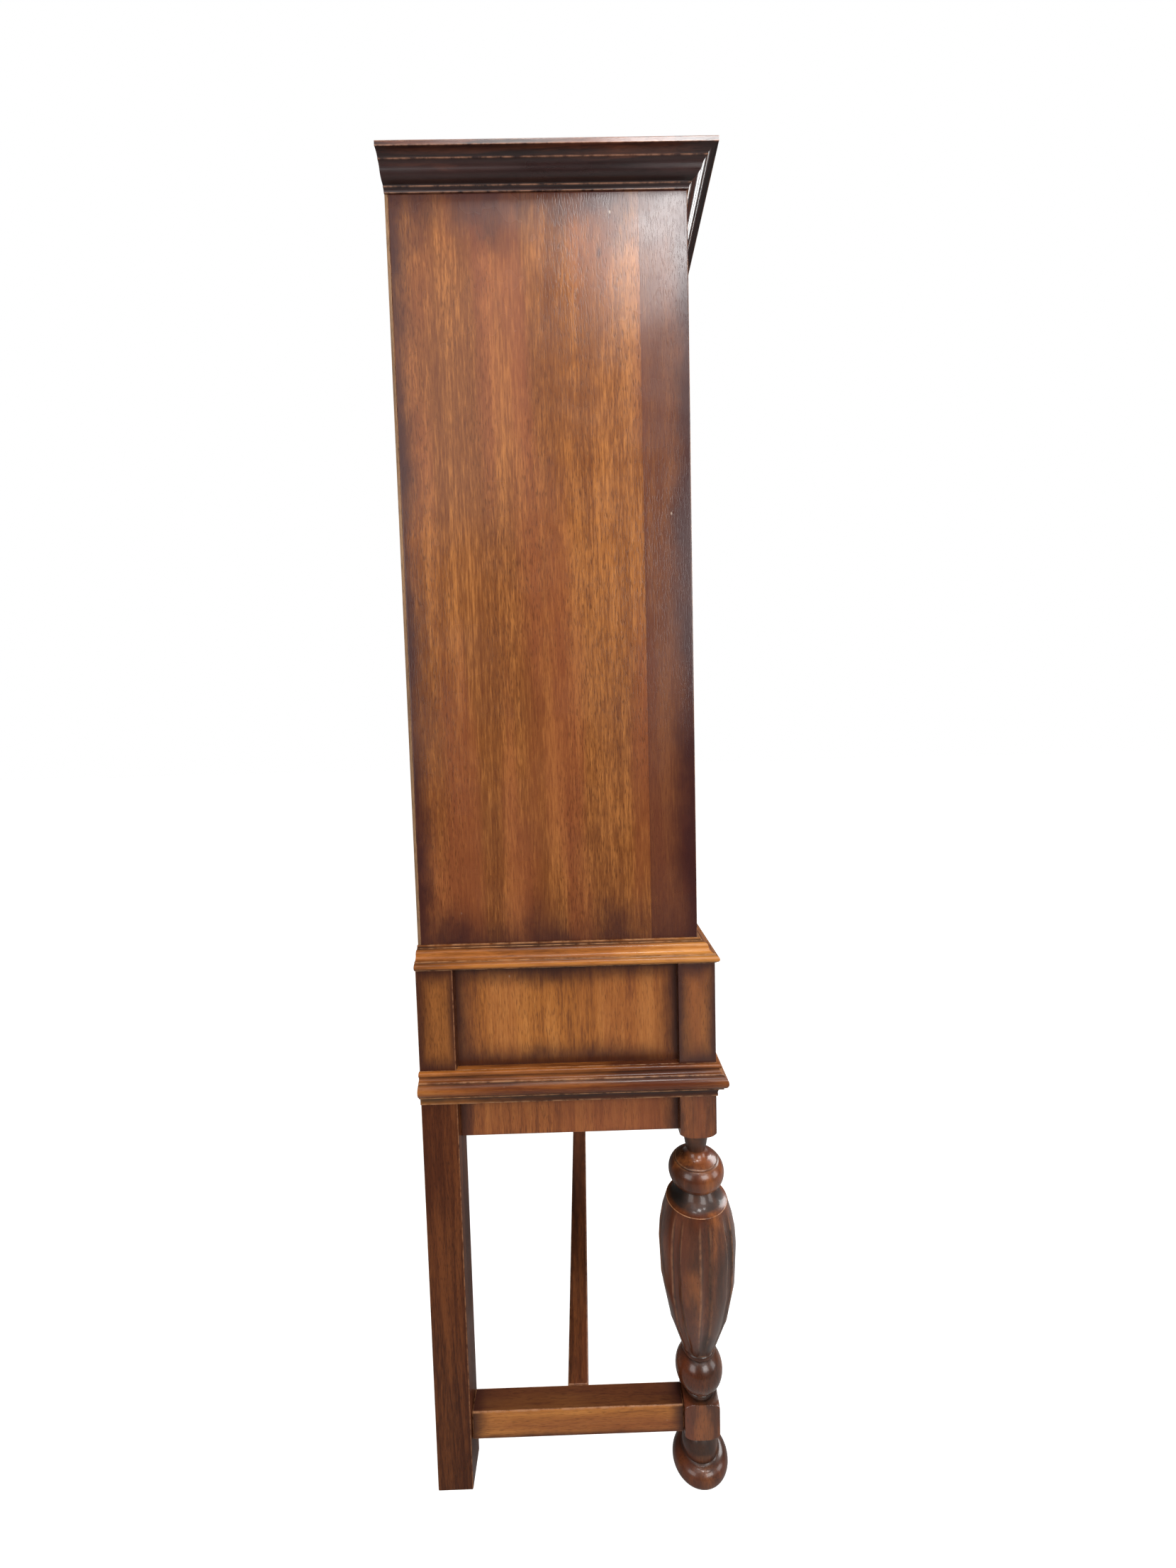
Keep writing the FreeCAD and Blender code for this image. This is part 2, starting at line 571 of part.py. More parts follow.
def build_mouldings():
    recess, y0, y1 = s("stage_panel_recess"), add(yFront, s("leg_side")), less(yBack, s("leg_side"))
    tongues = {
        "front": box("base_tongue_front", times(xLegInner, -1), xLegInner, yFront,
                     add(yFront, s("apron_recess")), zBaseMoulding, zStage),
        "left": box("base_tongue_left", times(xLeg, -1), times(less(xLeg, recess), -1), y0, y1,
                    zBaseMoulding, zStage),
        "right": box("base_tongue_right", less(xLeg, recess), xLeg, y0, y1, zBaseMoulding, zStage),
    }
    moulding_set("base_moulding", base_outline(), s("base_moulding_reach"), xLeg, yFront, zBaseMoulding, tongues)
    waistReach = add(s("case_inset"), s("waist_moulding_overhang"))
    moulding_set("waist_moulding", waist_outline(), waistReach, xCase, yCaseFront, zStandTop)
    moulding_set("cornice", cornice_outline(), s("cornice_reach"), xCase, yCaseFront, zCornice)


# ---------------------------------------------------------------- upper case
def rows():
    """Openings from the lowest row up: (number, low level, high level)."""
    levels, low = [], zCaseFloor
    for number in (5, 4, 3, 2):
        high = add(low, s("row_%d_height" % number))
        levels.append((number, low, high))
        low = add(high, s("rail_height"))
    levels.append((1, low, zFrontRail))
    return levels


def build_case():
    for side, word in ((-1, "left"), (1, "right")):
        x0, x1 = (times(xCase, -1), times(xCaseInner, -1)) if side < 0 else (xCaseInner, xCase)
        keep("case_side_" + word, box("case_side_" + word, x0, x1, yCaseFront, yCaseBack, zStandTop, zCaseTop))
    keep("case_top_board", box("case_top_board", times(xCase, -1), xCase, yCaseFront, yBack, zCaseTop, zTop))
    keep("case_floor", box("case_floor", times(xCaseInner, -1), xCaseInner, yCaseFront, yCaseBack,
                           less(zCaseFloor, s("board_thickness")), zCaseFloor))
    keep("case_back_board", box("case_back_board", times(xCase, -1), xCase, yCaseBack, yBack,
                                zStandTop, zCaseTop))
    yRail = add(yCaseFront, s("rail_thickness"))
    keep("case_top_rail", box("case_top_rail", times(xCaseInner, -1), xCaseInner, yCaseFront, yRail,
                              zFrontRail, zCaseTop))
    rails, runners = [], []
    for number, low, high in rows()[:-1]:
        top = add(high, s("rail_height"))
        rails.append(box("drawer_rail", times(xCaseInner, -1), xCaseInner, yCaseFront, yRail, high, top))
        for x0, x1 in ((times(xCaseInner, -1), add(times(xCaseInner, -1), s("runner_width"))),
                       (less(xCaseInner, s("runner_width")), xCaseInner)):
            runners.append(box("case_runner", x0, x1, yRail, yCaseBack, high, top))
    number, low, high = rows()[-1]
    runners.append(box("middle_runner", times(s("runner_width"), -1), s("runner_width"), yRail, yCaseBack,
                       less(low, s("rail_height")), low))
    keep("case_drawer_rails", group("case_drawer_rails", rails))
    keep("case_drawer_runners", group("case_drawer_runners", runners))
    half = times(s("board_thickness"), 0.5)
    keep("short_drawer_divider", box("short_drawer_divider", times(half, -1), half, yCaseFront, yCaseBack,
                                     low, high))


# ---------------------------------------------------------------- drawers
def knob_outline():
    """Turned knob: tenon, foot, waist and mushroom head, along its own axis."""
    head, reach = s("knob_radius"), s("knob_reach")
    tenon, foot, stem = s("knob_tenon_radius"), s("knob_foot_radius"), s("knob_stem_radius")
    front = s("front_thickness")
    return [
        ("0", "0"), (tenon, "0"), (tenon, front), (foot, front), (foot, add(front, "3")),
        (head, add(front, less(reach, "10")), stem, add(front, "9")),
        (times(head, 0.45), add(front, less(reach, "0.8")), add(times(head, 0.93)),
         add(front, less(reach, "4.5"))),
        ("0", add(front, reach)),
    ]


def knob(name, x, yFace, z):
    """The knob lies along -Y with its tenon through the drawer front."""
    body = new_body(name)
    turned(body, closed_sketch(body, name + "_profile", "XZ_Plane", knob_outline()))
    body.Placement = FreeCAD.Placement(
        FreeCAD.Vector(), FreeCAD.Rotation(FreeCAD.Vector(1, 0, 0), 90))
    place(body, x, add(yFace, s("front_thickness")), z)
    return body


def drawer(name, x0, x1, yFace, yEnd, z0, z1, knobs):
    """Front, grooved box, bottom and knobs of one drawer, inside the opening x0..x1, z0..z1. The front is at
    yFace and the box ends at yEnd."""
    gap, board, groove = s("drawer_gap"), s("box_board"), s("groove_depth")
    left, right, low, high = add(x0, gap), less(x1, gap), add(z0, gap), less(z1, gap)
    yBox = add(yFace, s("front_thickness"))
    boxTop = less(high, s("box_drop"))
    bottomLow = add(low, s("bottom_lift"))
    bottomHigh = add(bottomLow, s("bottom_thickness"))
    bottom = box(name + "_bottom", add(left, less(board, groove)), less(right, less(board, groove)),
                 less(yBox, groove), less(yEnd, board), bottomLow, bottomHigh)
    front = box(name + "_front_board", left, right, yFace, yBox, low, high)
    holes, turnings = [], []
    middle = times(add(low, high), 0.5)
    for number, x in enumerate(knobs, start=1):
        hole = doc.addObject("Part::Cylinder", "%s_knob_hole_%d" % (name, number))
        bind(hole, Radius=s("knob_tenon_radius"), Height=s("front_thickness"))
        hole.Placement = FreeCAD.Placement(
            FreeCAD.Vector(), FreeCAD.Rotation(FreeCAD.Vector(1, 0, 0), 90))
        place(hole, x, yBox, middle)
        holes.append(hole)
        turnings.append(knob("%s_knob_%d" % (name, number), x, yFace, middle))
    keep(name + "_front", cut(name + "_front", front, bottom, *holes))
    sides = [cut("%s_side_%d" % (name, n), box("%s_side_board_%d" % (name, n), a, b, yBox, yEnd, low, boxTop), bottom)
             for n, (a, b) in enumerate(((left, add(left, board)), (less(right, board), right)), start=1)]
    back = box(name + "_back", add(left, board), less(right, board), less(yEnd, board), yEnd, bottomLow, boxTop)
    keep(name + "_box", group(name + "_box", sides + [back, bottom]))
    keep(name + "_knobs", group(name + "_knobs", turnings))


def build_drawers():
    far, near = times(s("knob_offset"), -1), s("knob_offset")
    half = times(s("board_thickness"), 0.5)
    yEnd = less(yCaseBack, s("box_back_gap"))
    for number, low, high in rows():
        if number == 1:
            middle = times(add(half, xCaseInner), 0.5)
            drawer("top_left_drawer", times(xCaseInner, -1), times(half, -1), yCaseFront, yEnd, low, high,
                   [times(middle, -1)])
            drawer("top_right_drawer", half, xCaseInner, yCaseFront, yEnd, low, high, [middle])
        else:
            drawer("long_drawer_%d" % (number - 1), times(xCaseInner, -1), xCaseInner, yCaseFront, yEnd,
                   low, high, [far, near])
    yEnd = less(yBack, s("stage_panel_recess"), s("stage_panel_thickness"), s("stage_box_back_gap"))
    drawer("stand_drawer", times(xLegInner, -1), xLegInner, yFront, yEnd, zStage, zStageRail, [far, near])


def build_stops():
    """Small blocks on the rails that each drawer front closes against."""
    stops = []
    for number, low, high in rows():
        centres = (-0.25, 0.25) if number == 1 else (-0.3, 0.3)
        for share in centres:
            x = times(times(xCaseInner, 2), share)
            stops.append(stop(x, yCaseFront, low))
    for share in (-0.3, 0.3):
        stops.append(stop(times(times(xLegInner, 2), share), yFront, zStage))
    keep("drawer_stops", group("drawer_stops", stops))


def stop(x, yFace, z):
    """One stop, behind the front and under the drawer's bottom."""
    half = times(s("stop_width"), 0.5)
    y0 = add(yFace, s("front_thickness"), s("stop_gap"))
    return box("stop", less(x, half), add(x, half), y0, add(y0, "12"), z, add(z, s("stop_height")))


build_stand()
build_mouldings()
build_case()
build_drawers()
build_stops()
doc.recompute()

for item in doc.Objects:
    if "Invalid" in item.State or "Error" in item.State:
        raise RuntimeError("%s could not be built: %s" % (item.Label, item.State))
os.makedirs("parts", exist_ok=True)
for item in kept:
    if item.Shape.isNull() or not item.Shape.isValid() or not item.Shape.Solids:
        raise RuntimeError("%s has no valid solid" % item.Label)
for item in kept:
    item.Shape.exportStep(os.path.join("parts", item.Label + ".step"))
print("%d nodes written" % len(kept))
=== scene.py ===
import json
import bpy
import numpy as np
from math import atan2, cos, hypot, pi, radians, sin
from mathutils import Matrix, Vector

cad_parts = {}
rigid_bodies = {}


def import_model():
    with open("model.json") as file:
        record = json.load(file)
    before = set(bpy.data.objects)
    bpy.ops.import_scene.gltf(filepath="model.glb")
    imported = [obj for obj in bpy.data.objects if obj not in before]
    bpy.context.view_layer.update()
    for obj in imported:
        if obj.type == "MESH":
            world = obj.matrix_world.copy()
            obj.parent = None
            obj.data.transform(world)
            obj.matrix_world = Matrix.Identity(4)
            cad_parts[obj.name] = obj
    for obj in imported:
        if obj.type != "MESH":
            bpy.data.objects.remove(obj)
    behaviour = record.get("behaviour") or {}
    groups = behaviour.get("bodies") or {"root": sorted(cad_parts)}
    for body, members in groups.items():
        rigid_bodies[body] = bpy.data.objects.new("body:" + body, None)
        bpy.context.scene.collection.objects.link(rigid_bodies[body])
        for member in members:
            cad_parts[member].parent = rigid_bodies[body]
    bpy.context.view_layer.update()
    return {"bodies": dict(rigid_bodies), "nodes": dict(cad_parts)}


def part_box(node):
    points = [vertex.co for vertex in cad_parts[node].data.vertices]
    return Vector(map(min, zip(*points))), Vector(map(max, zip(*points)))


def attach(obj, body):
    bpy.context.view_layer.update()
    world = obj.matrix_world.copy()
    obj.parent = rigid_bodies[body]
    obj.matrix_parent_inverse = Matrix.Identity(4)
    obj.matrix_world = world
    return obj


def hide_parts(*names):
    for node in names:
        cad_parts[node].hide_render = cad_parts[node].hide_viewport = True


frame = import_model()
mm = 0.001

# outlines: how far an arris is cut back, the angle that counts as one, and how far its wear with a painted
# highlight and its dirt with painted shade reach
outlineCare = {"cornerCut": 0.45, "arcStep": 7.0, "shadeReach": (0.8, 2.4, 5.0), "arrisFrom": 16,
               "fullTurn": 70, "wearReach": 0.7, "grimeReach": 2.8}


# The centre of the circle through three points, where the bisectors of their chords meet.
def circleCentre(start, via, end):
    (ax, ay), (bx, by), (cx, cy) = start, via, end
    d = 2 * (ax * (by - cy) + bx * (cy - ay) + cx * (ay - by))
    a2, b2, c2 = ax * ax + ay * ay, bx * bx + by * by, cx * cx + cy * cy
    return ((a2 * (by - cy) + b2 * (cy - ay) + c2 * (ay - by)) / d,
            (a2 * (cx - bx) + b2 * (ax - cx) + c2 * (bx - ax)) / d)


# Points from start (left out) to end on the circle through three points, at even angles.
def arcThrough(start, via, end):
    (ax, ay), (bx, by), (cx, cy) = start, via, end
    ux, uy = circleCentre(start, via, end)
    first, last = atan2(ay - uy, ax - ux), atan2(cy - uy, cx - ux)
    turn = (last - first) % (2 * pi)
    if (bx - ax) * (cy - ay) - (by - ay) * (cx - ax) < 0:
        turn -= 2 * pi
    count = max(3, int(abs(turn) / radians(outlineCare["arcStep"])))
    angles = first + turn * np.arange(1, count + 1) / count
    radius = hypot(ax - ux, ay - uy)
    points = np.stack([ux + radius * np.cos(angles), uy + radius * np.sin(angles)], 1)
    points[-1] = end
    return points


# A maker's profile as points, with softened arrises. Entries are (x, y), or (x, y, viaX, viaY) for an arc.
# Returns the points with a wear value, 1 on outer corners, which paints wear and a pale highlight there, and
# a grime value, 1 in inner ones, which paints dirt and shade there.
def outline(entries, closed):
    runs = [np.array([entries[0][:2]], float)]
    previous = entries[0][:2]
    for entry in entries[1:] + ([entries[0]] if closed else []):
        end = entry[:2]
        isArc = len(entry) == 4 and hypot(end[0] - previous[0], end[1] - previous[1]) > 1e-6
        runs.append(arcThrough(previous, entry[2:], end) if isArc else np.array([end], float))
        previous = end
    points = np.concatenate(runs)
    if closed:
        points = points[:-1]
    before = np.roll(points, 1, 0) - points
    after = np.roll(points, -1, 0) - points
    lb = np.maximum(np.hypot(*before.T), 1e-9)
    la = np.maximum(np.hypot(*after.T), 1e-9)
    turn = np.arctan2(-before[:, 0] * after[:, 1] + before[:, 1] * after[:, 0],
                      -(before * after).sum(1))
    if not closed:
        turn[[0, -1]] = 0
    out, bend = [], []
    for k, p in enumerate(points):
        if abs(turn[k]) < radians(outlineCare["arrisFrom"]):
            out.append(p)
            bend.append(0.0)
            continue
        cb, ca = (min(outlineCare["cornerCut"], side * 0.45) for side in (lb[k], la[k]))
        inTo, outOf = before[k] / lb[k], after[k] / la[k]
        for reach in reversed(outlineCare["shadeReach"]):
            if reach < lb[k] * 0.5 - 0.2:
                out.append(p + inTo * reach)
                bend.append(0.0)
        sharp = min(1.0, abs(turn[k]) / radians(outlineCare["fullTurn"])) * np.sign(turn[k])
        for share in (1.0, 0.28, 0.0, -0.28, -1.0):  # five points round the softened arris
            if share > 0:
                out.append(p + inTo * cb * share + (outOf * ca * 0.18 if share < 1 else 0))
            elif share < 0:
                out.append(p + outOf * ca * -share + (inTo * cb * 0.18 if share > -1 else 0))
            else:
                out.append(p + (inTo * cb + outOf * ca) * 0.25)
            bend.append(sharp * (1.0 if abs(share) < 1 else 0.25))
        for reach in outlineCare["shadeReach"]:
            if reach < la[k] * 0.5 - 0.2:
                out.append(p + outOf * reach)
                bend.append(0.0)
    points, bend = np.array(out), np.array(bend)
    length = np.concatenate([[0], np.cumsum(np.hypot(*np.diff(points, axis=0).T))])
    gap = np.abs(length[:, None] - length[None, :])
    wear = (np.exp(-(gap / outlineCare["wearReach"]) ** 2) * np.maximum(bend, 0)[None, :]).max(1)
    grime = (np.exp(-gap / outlineCare["grimeReach"]) * np.maximum(-bend, 0)[None, :]).max(1)
    return points, wear, grime


# A shape is (vertices, quads, caps, wear with painted highlight, grime with painted shade), with places in
# millimetres.

# Quads of a grid of rows by columns, as indices.
def gridQuads(rows, columns, wrapColumns=False):
    r = np.arange(rows - 1)[:, None]
    c = np.arange(columns if wrapColumns else columns - 1)[None, :]
    rn, cn = r + 1, (c + 1) % columns
    corners = [r * columns + c, r * columns + cn, rn * columns + cn, rn * columns + c]
    return np.stack(corners, -1).reshape(-1, 4)


# Paints shade into a profile's valleys and undersides: how far a point lies behind the furthest ones both
# below and above it, or seven tenths of how far it lies behind the furthest one above it.
def recessed(profile, near, start, span):
    points, wear, grime = profile
    gap = points[None, :, 1] - points[:, None, 1]
    below = np.where((gap <= 0) & (gap > -near), points[None, :, 0], 0).max(1)
    above = np.where((gap >= 0) & (gap < near), points[None, :, 0], 0).max(1)
    valley = np.maximum(np.minimum(below, above), 0.7 * above + 0.3 * points[:, 0]) - points[:, 0]
    return points, wear, np.clip(np.maximum(grime, (valley - start) / span), 0, 1)


# A closed profile carried along stations 0..1: place(reach, height, t) gives x, y, z arrays.
def sweep(profile, stations, place):
    points, wear, grime = profile
    t = np.linspace(0, 1, stations)[:, None]
    x, y, z = place(points[None, :, 0], points[None, :, 1], t)
    full = np.broadcast_to
    shape = (stations, len(points))
    vertices = np.stack([full(x, shape), full(y, shape), full(z, shape)], -1).reshape(-1, 3)
    first = np.arange(len(points))
    caps = [first, (stations - 1) * len(points) + first[::-1]]
    quads = gridQuads(stations, len(points), wrapColumns=True)
    return vertices, quads, caps, np.tile(wear, stations), np.tile(grime, stations)


# A turning: the open profile (radius, height) from pole to pole goes round an upright axis, and
# radiusAt(radius, height, angle) may press flats or flutes into it.
def lathe(profile, around, radiusAt, axisPoint):
    points, wear, grime = profile
    even = np.arange(around) * 2 * pi / around
    angle = (even + 0.1 * np.sin(4 * even))[None, :]  # closer together at a square's corners
    radius = np.broadcast_to(radiusAt(points[:, :1], points[:, 1:], angle), (len(points), around))
    x = axisPoint[0] + radius * np.cos(angle)
    y = axisPoint[1] + radius * np.sin(angle)
    z = np.broadcast_to(axisPoint[2] + points[:, 1:], radius.shape)
    vertices = np.stack([x, y, z], -1).reshape(-1, 3)
    caps = [np.arange(around)[::-1], (len(points) - 1) * around + np.arange(around)]
    quads = gridQuads(len(points), around, wrapColumns=True)
    return vertices, quads, caps, np.repeat(wear, around), np.repeat(grime, around)


# Grid positions along one side of a board: close together at both rounded edges.
def edgeLines(low, high, soft, extra=()):
    near = [0, 0.3 * soft, 0.65 * soft, soft, soft + 1.5] + list(extra)
    near = [n for n in near if n < (high - low) / 2 - 0.01]
    middle = np.linspace(low + near[-1], high - near[-1], 3)[1:-1]
    return np.unique(np.round(np.concatenate([low + np.array(near), middle, high - np.array(near)]), 4))


# A planed board with rounded edges: every point of a box's skin is drawn in to its inner box and then
# pushed out again by the edge radius. carve(points) may press a moulding into it.
def board(low, high, soft=1.2, extra=(), carve=None):
    low, high = np.array(low, float), np.array(high, float)
    soft = min(soft, (high - low).min() * 0.45)
    lines = [edgeLines(low[k], high[k], soft, extra) for k in range(3)]
    skins, quads, start = [], [], 0
    for axis in range(3):
        u, v = (axis + 1) % 3, (axis + 2) % 3
        for end in (0, 1):
            a, b = np.meshgrid(lines[u], lines[v], indexing="ij")
            skin = np.empty(a.shape + (3,))
            skin[..., axis], skin[..., u], skin[..., v] = (low, high)[end][axis], a, b
            face = gridQuads(len(lines[u]), len(lines[v])) + start
            quads.append(face if end == 0 else face[:, ::-1])
            skins.append(skin.reshape(-1, 3))
            start += a.size
    skin = np.concatenate(skins)
    flat, index = np.unique(np.round(skin, 4), axis=0, return_inverse=True)
    inner = np.clip(flat, low + soft, high - soft)
    out = flat - inner
    size = np.maximum(np.linalg.norm(out, axis=1, keepdims=True), 1e-9)
    points = np.where(size > 1e-6, inner + out / size * soft, flat)
    # wear on the rounded arrises, which also paints a pale highlight line along them
    wear = np.clip(((np.abs(out) > soft * 0.2).sum(1) - 1) * 0.9, 0, 1)
    grime = np.zeros(len(points))
    if carve:
        points, wear, grime = carve(points, wear, grime)
    return points, index.ravel()[np.concatenate(quads)], [], wear, grime


# Several shapes as one.
def joined(shapes):
    start, vertices, quads, caps, wear, grime = 0, [], [], [], [], []
    for v, q, c, w, g in shapes:
        vertices.append(v)
        quads.append(q + start)
        caps += [np.asarray(cap) + start for cap in c]
        wear.append(w)
        grime.append(g)
        start += len(v)
    vertices, quads, wear, grime = (np.concatenate(rows) for rows in (vertices, quads, wear, grime))
    return vertices, quads, caps, wear, grime


# The same shape with its faces turned round.
def flipped(shape):
    v, q, c, w, g = shape
    return v, q[:, ::-1], [cap[::-1] for cap in c], w, g


# Six times the signed volume of a closed shape; negative means its faces point inwards.
def volume(shape):
    v, q, c, _, _ = shape
    tris = [q[:, [0, 1, 2]], q[:, [0, 2, 3]]]
    tris += [np.stack([np.full(len(cap) - 2, cap[0]), cap[1:-1], cap[2:]], 1) for cap in c]
    a, b, d = np.moveaxis(v[np.concatenate(tris)], 1, 0)
    return np.einsum("ij,ij->", a, np.cross(b, d))


# Puts a shape, in millimetres, into the scene as a finished piece.
def makePiece(name, shape, body, nodes, material, smoothAngle=32):
    if volume(shape) < 0:
        shape = flipped(shape)
    vertices, quads, caps, wear, grime = shape
    mesh = bpy.data.meshes.new(name)
    sizes = np.concatenate([np.full(len(quads), 4), [len(cap) for cap in caps]]).astype(np.int32)
    loops = np.concatenate([quads.ravel()] + [np.asarray(cap) for cap in caps]).astype(np.int32)
    mesh.vertices.add(len(vertices))
    mesh.vertices.foreach_set("co", (vertices * mm).astype(np.float32).ravel())
    mesh.loops.add(len(loops))
    mesh.loops.foreach_set("vertex_index", loops)
    mesh.polygons.add(len(sizes))
    mesh.polygons.foreach_set("loop_start", np.concatenate([[0], np.cumsum(sizes)[:-1]]).astype(np.int32))
    mesh.polygons.foreach_set("use_smooth", np.ones(len(sizes), bool))
    mesh.update(calc_edges=True)
    mesh.validate()
    for label, values in (("wear", wear), ("grime", grime)):
        mesh.attributes.new(label, "FLOAT", "POINT").data.foreach_set("value", values.astype(np.float32))
    mesh.set_sharp_from_angle(angle=radians(smoothAngle))
    piece = bpy.data.objects.new(name, mesh)
    bpy.context.scene.collection.objects.link(piece)
    mesh.materials.append(material)
    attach(piece, body)
    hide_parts(*nodes)


# Adds a node; an input given as a socket is linked, and anything else is its value.
def wire(tree, kind, inputs=None, **settings):
    made = tree.nodes.new(kind)
    for key, value in settings.items():
        setattr(made, key, value)
    for key, value in (inputs or {}).items():
        if isinstance(value, bpy.types.NodeSocket):
            tree.links.new(value, made.inputs[key])
        else:
            made.inputs[key].default_value = value
    return made


# A Math node on sockets or numbers.
def calc(tree, operation, *values, clamp=False):
    made = wire(tree, "ShaderNodeMath", dict(enumerate(values)), operation=operation, use_clamp=clamp)
    return made.outputs[0]


# A soft step of value from low to high.
def ease(tree, value, low, high, toLow=0.0, toHigh=1.0):
    values = {"Value": value, "From Min": low, "From Max": high, "To Min": toLow, "To Max": toHigh}
    return wire(tree, "ShaderNodeMapRange", values, interpolation_type="SMOOTHSTEP").outputs["Result"]


# Fractal noise about a half.
def noise(tree, vector, scale, detail=2.0, roughness=0.5):
    values = {"Vector": vector, "Scale": scale, "Detail": detail, "Roughness": roughness}
    return wire(tree, "ShaderNodeTexNoise", values).outputs["Fac"]


# A position with its axes scaled; a small factor draws a pattern out along that axis.
def stretched(tree, vector, factors):
    made = wire(tree, "ShaderNodeVectorMath", {0: vector, 1: factors}, operation="MULTIPLY")
    return made.outputs["Vector"]


# The first colour with a share of the second laid over it.
def blendColour(tree, factor, first, second):
    made = wire(tree, "ShaderNodeMix", data_type="RGBA")
    for key, value in (("Factor_Float", factor), ("A_Color", first), ("B_Color", second)):
        socket = next(i for i in made.inputs if i.identifier == key)
        if isinstance(value, bpy.types.NodeSocket):
            tree.links.new(value, socket)
        else:
            socket.default_value = value if key == "Factor_Float" else (*value, 1)
    return next(o for o in made.outputs if o.identifier == "Result_Color")


# A node group with named inputs (label, kind, value) and number outputs.
def newGroup(name, ins, outs):
    tree = bpy.data.node_groups.new(name, "ShaderNodeTree")
    for label, kind, value in ins:
        socket = tree.interface.new_socket(label, in_out="INPUT", socket_type="NodeSocket" + kind)
        socket.default_value = value
    for label in outs:
        tree.interface.new_socket(label, in_out="OUTPUT", socket_type="NodeSocketFloat")
    return tree, tree.nodes.new("NodeGroupInput").outputs, tree.nodes.new("NodeGroupOutput")


# Links a group's results to its outputs.
def closeGroup(tree, outputNode, **values):
    for label, value in values.items():
        tree.links.new(value, outputNode.inputs[label])
    return tree


# Wood with its fibres along Z: soft streaks, growth bands where a waving field crosses whole numbers, fine
# fibres, and open pores as short dark dashes.
def grainGroup():
    tree, given, result = newGroup("woodGrain", [
        ("Vector", "Vector", (0, 0, 0)), ("Bands", "Float", 55.0), ("Band Wave", "Float", 9.0),
        ("Pore Scale", "Float", 620.0), ("Mottle Scale", "Float", 13.0)],
        ["Streak", "Band", "Fibre", "Mottle", "Pore", "Warmth"])
    p = given["Vector"]
    streak = noise(tree, stretched(tree, p, (1, 1, 0.045)), 34.0, 4.0, 0.6)
    wave = noise(tree, stretched(tree, p, (1, 1, 0.16)), 6.5, 2.0, 0.45)
    parts = wire(tree, "ShaderNodeSeparateXYZ", {0: p}).outputs
    across = calc(tree, "ADD", parts["Y"], calc(tree, "MULTIPLY", parts["X"], 1.3))
    field = calc(tree, "ADD", calc(tree, "MULTIPLY", across, given["Bands"]),
                 calc(tree, "MULTIPLY", wave, given["Band Wave"]))
    saw = calc(tree, "FRACT", field)
    band = calc(tree, "MULTIPLY", ease(tree, saw, 0.0, 0.75), ease(tree, saw, 1.0, 0.86))
    fibre = noise(tree, stretched(tree, p, (1, 1, 0.085)), 400.0, 3.0, 0.6)
    mottle = noise(tree, stretched(tree, p, (1, 1, 0.3)), given["Mottle Scale"], 3.0, 0.55)
    warmth = noise(tree, stretched(tree, p, (1, 1, 0.12)), 16.0, 2.0, 0.5)
    dashes = noise(tree, stretched(tree, p, (1, 1, 0.13)), given["Pore Scale"], 1.0, 0.4)
    crowd = noise(tree, stretched(tree, p, (1, 1, 0.12)), 26.0, 2.0)
    pore = calc(tree, "MULTIPLY", ease(tree, dashes, 0.53, 0.68), ease(tree, crowd, 0.3, 0.62, 0.25, 1.0))
    return closeGroup(tree, result, Streak=streak, Band=band, Fibre=fibre, Mottle=mottle, Pore=pore,
                      Warmth=warmth)


# A Vector Math node on sockets or vectors.
def vectorCalc(tree, operation, *values):
    return wire(tree, "ShaderNodeVectorMath", dict(enumerate(values)), operation=operation).outputs[0]


# A face darker along its borders, partly stain left unrubbed and partly painted shade beside mouldings and
# posts:
# the distance to the nearest border of a box, blurred by cloudy noise.
def toneGroup():
    tree, given, result = newGroup("borderTone", [
        ("Vector", "Vector", (0, 0, 0)), ("Centre", "Vector", (0, 0, 0)), ("Half", "Vector", (1, 1, 1)),
        ("Reach", "Vector", (0.05, 0.05, 0.05)), ("Cloud", "Float", 0.5)], ["Tone"])
    offset = vectorCalc(tree, "SUBTRACT", given["Vector"], given["Centre"])
    inside = vectorCalc(tree, "SUBTRACT", given["Half"], vectorCalc(tree, "ABSOLUTE", offset))
    share = vectorCalc(tree, "DIVIDE", inside, given["Reach"])
    parts = wire(tree, "ShaderNodeSeparateXYZ", {0: share}).outputs
    nearest = calc(tree, "SMOOTH_MIN", parts["X"], parts["Y"], 0.5)
    nearest = calc(tree, "SMOOTH_MIN", nearest, parts["Z"], 0.5)
    cloud = noise(tree, stretched(tree, given["Vector"], (1, 1, 0.6)), 17.0, 4.0, 0.6)
    blur = calc(tree, "MULTIPLY", calc(tree, "SUBTRACT", cloud, 0.5), given["Cloud"])
    tone = ease(tree, calc(tree, "ADD", nearest, blur), 0.0, 1.0, 1.0, 0.0)
    return closeGroup(tree, result, Tone=tone)
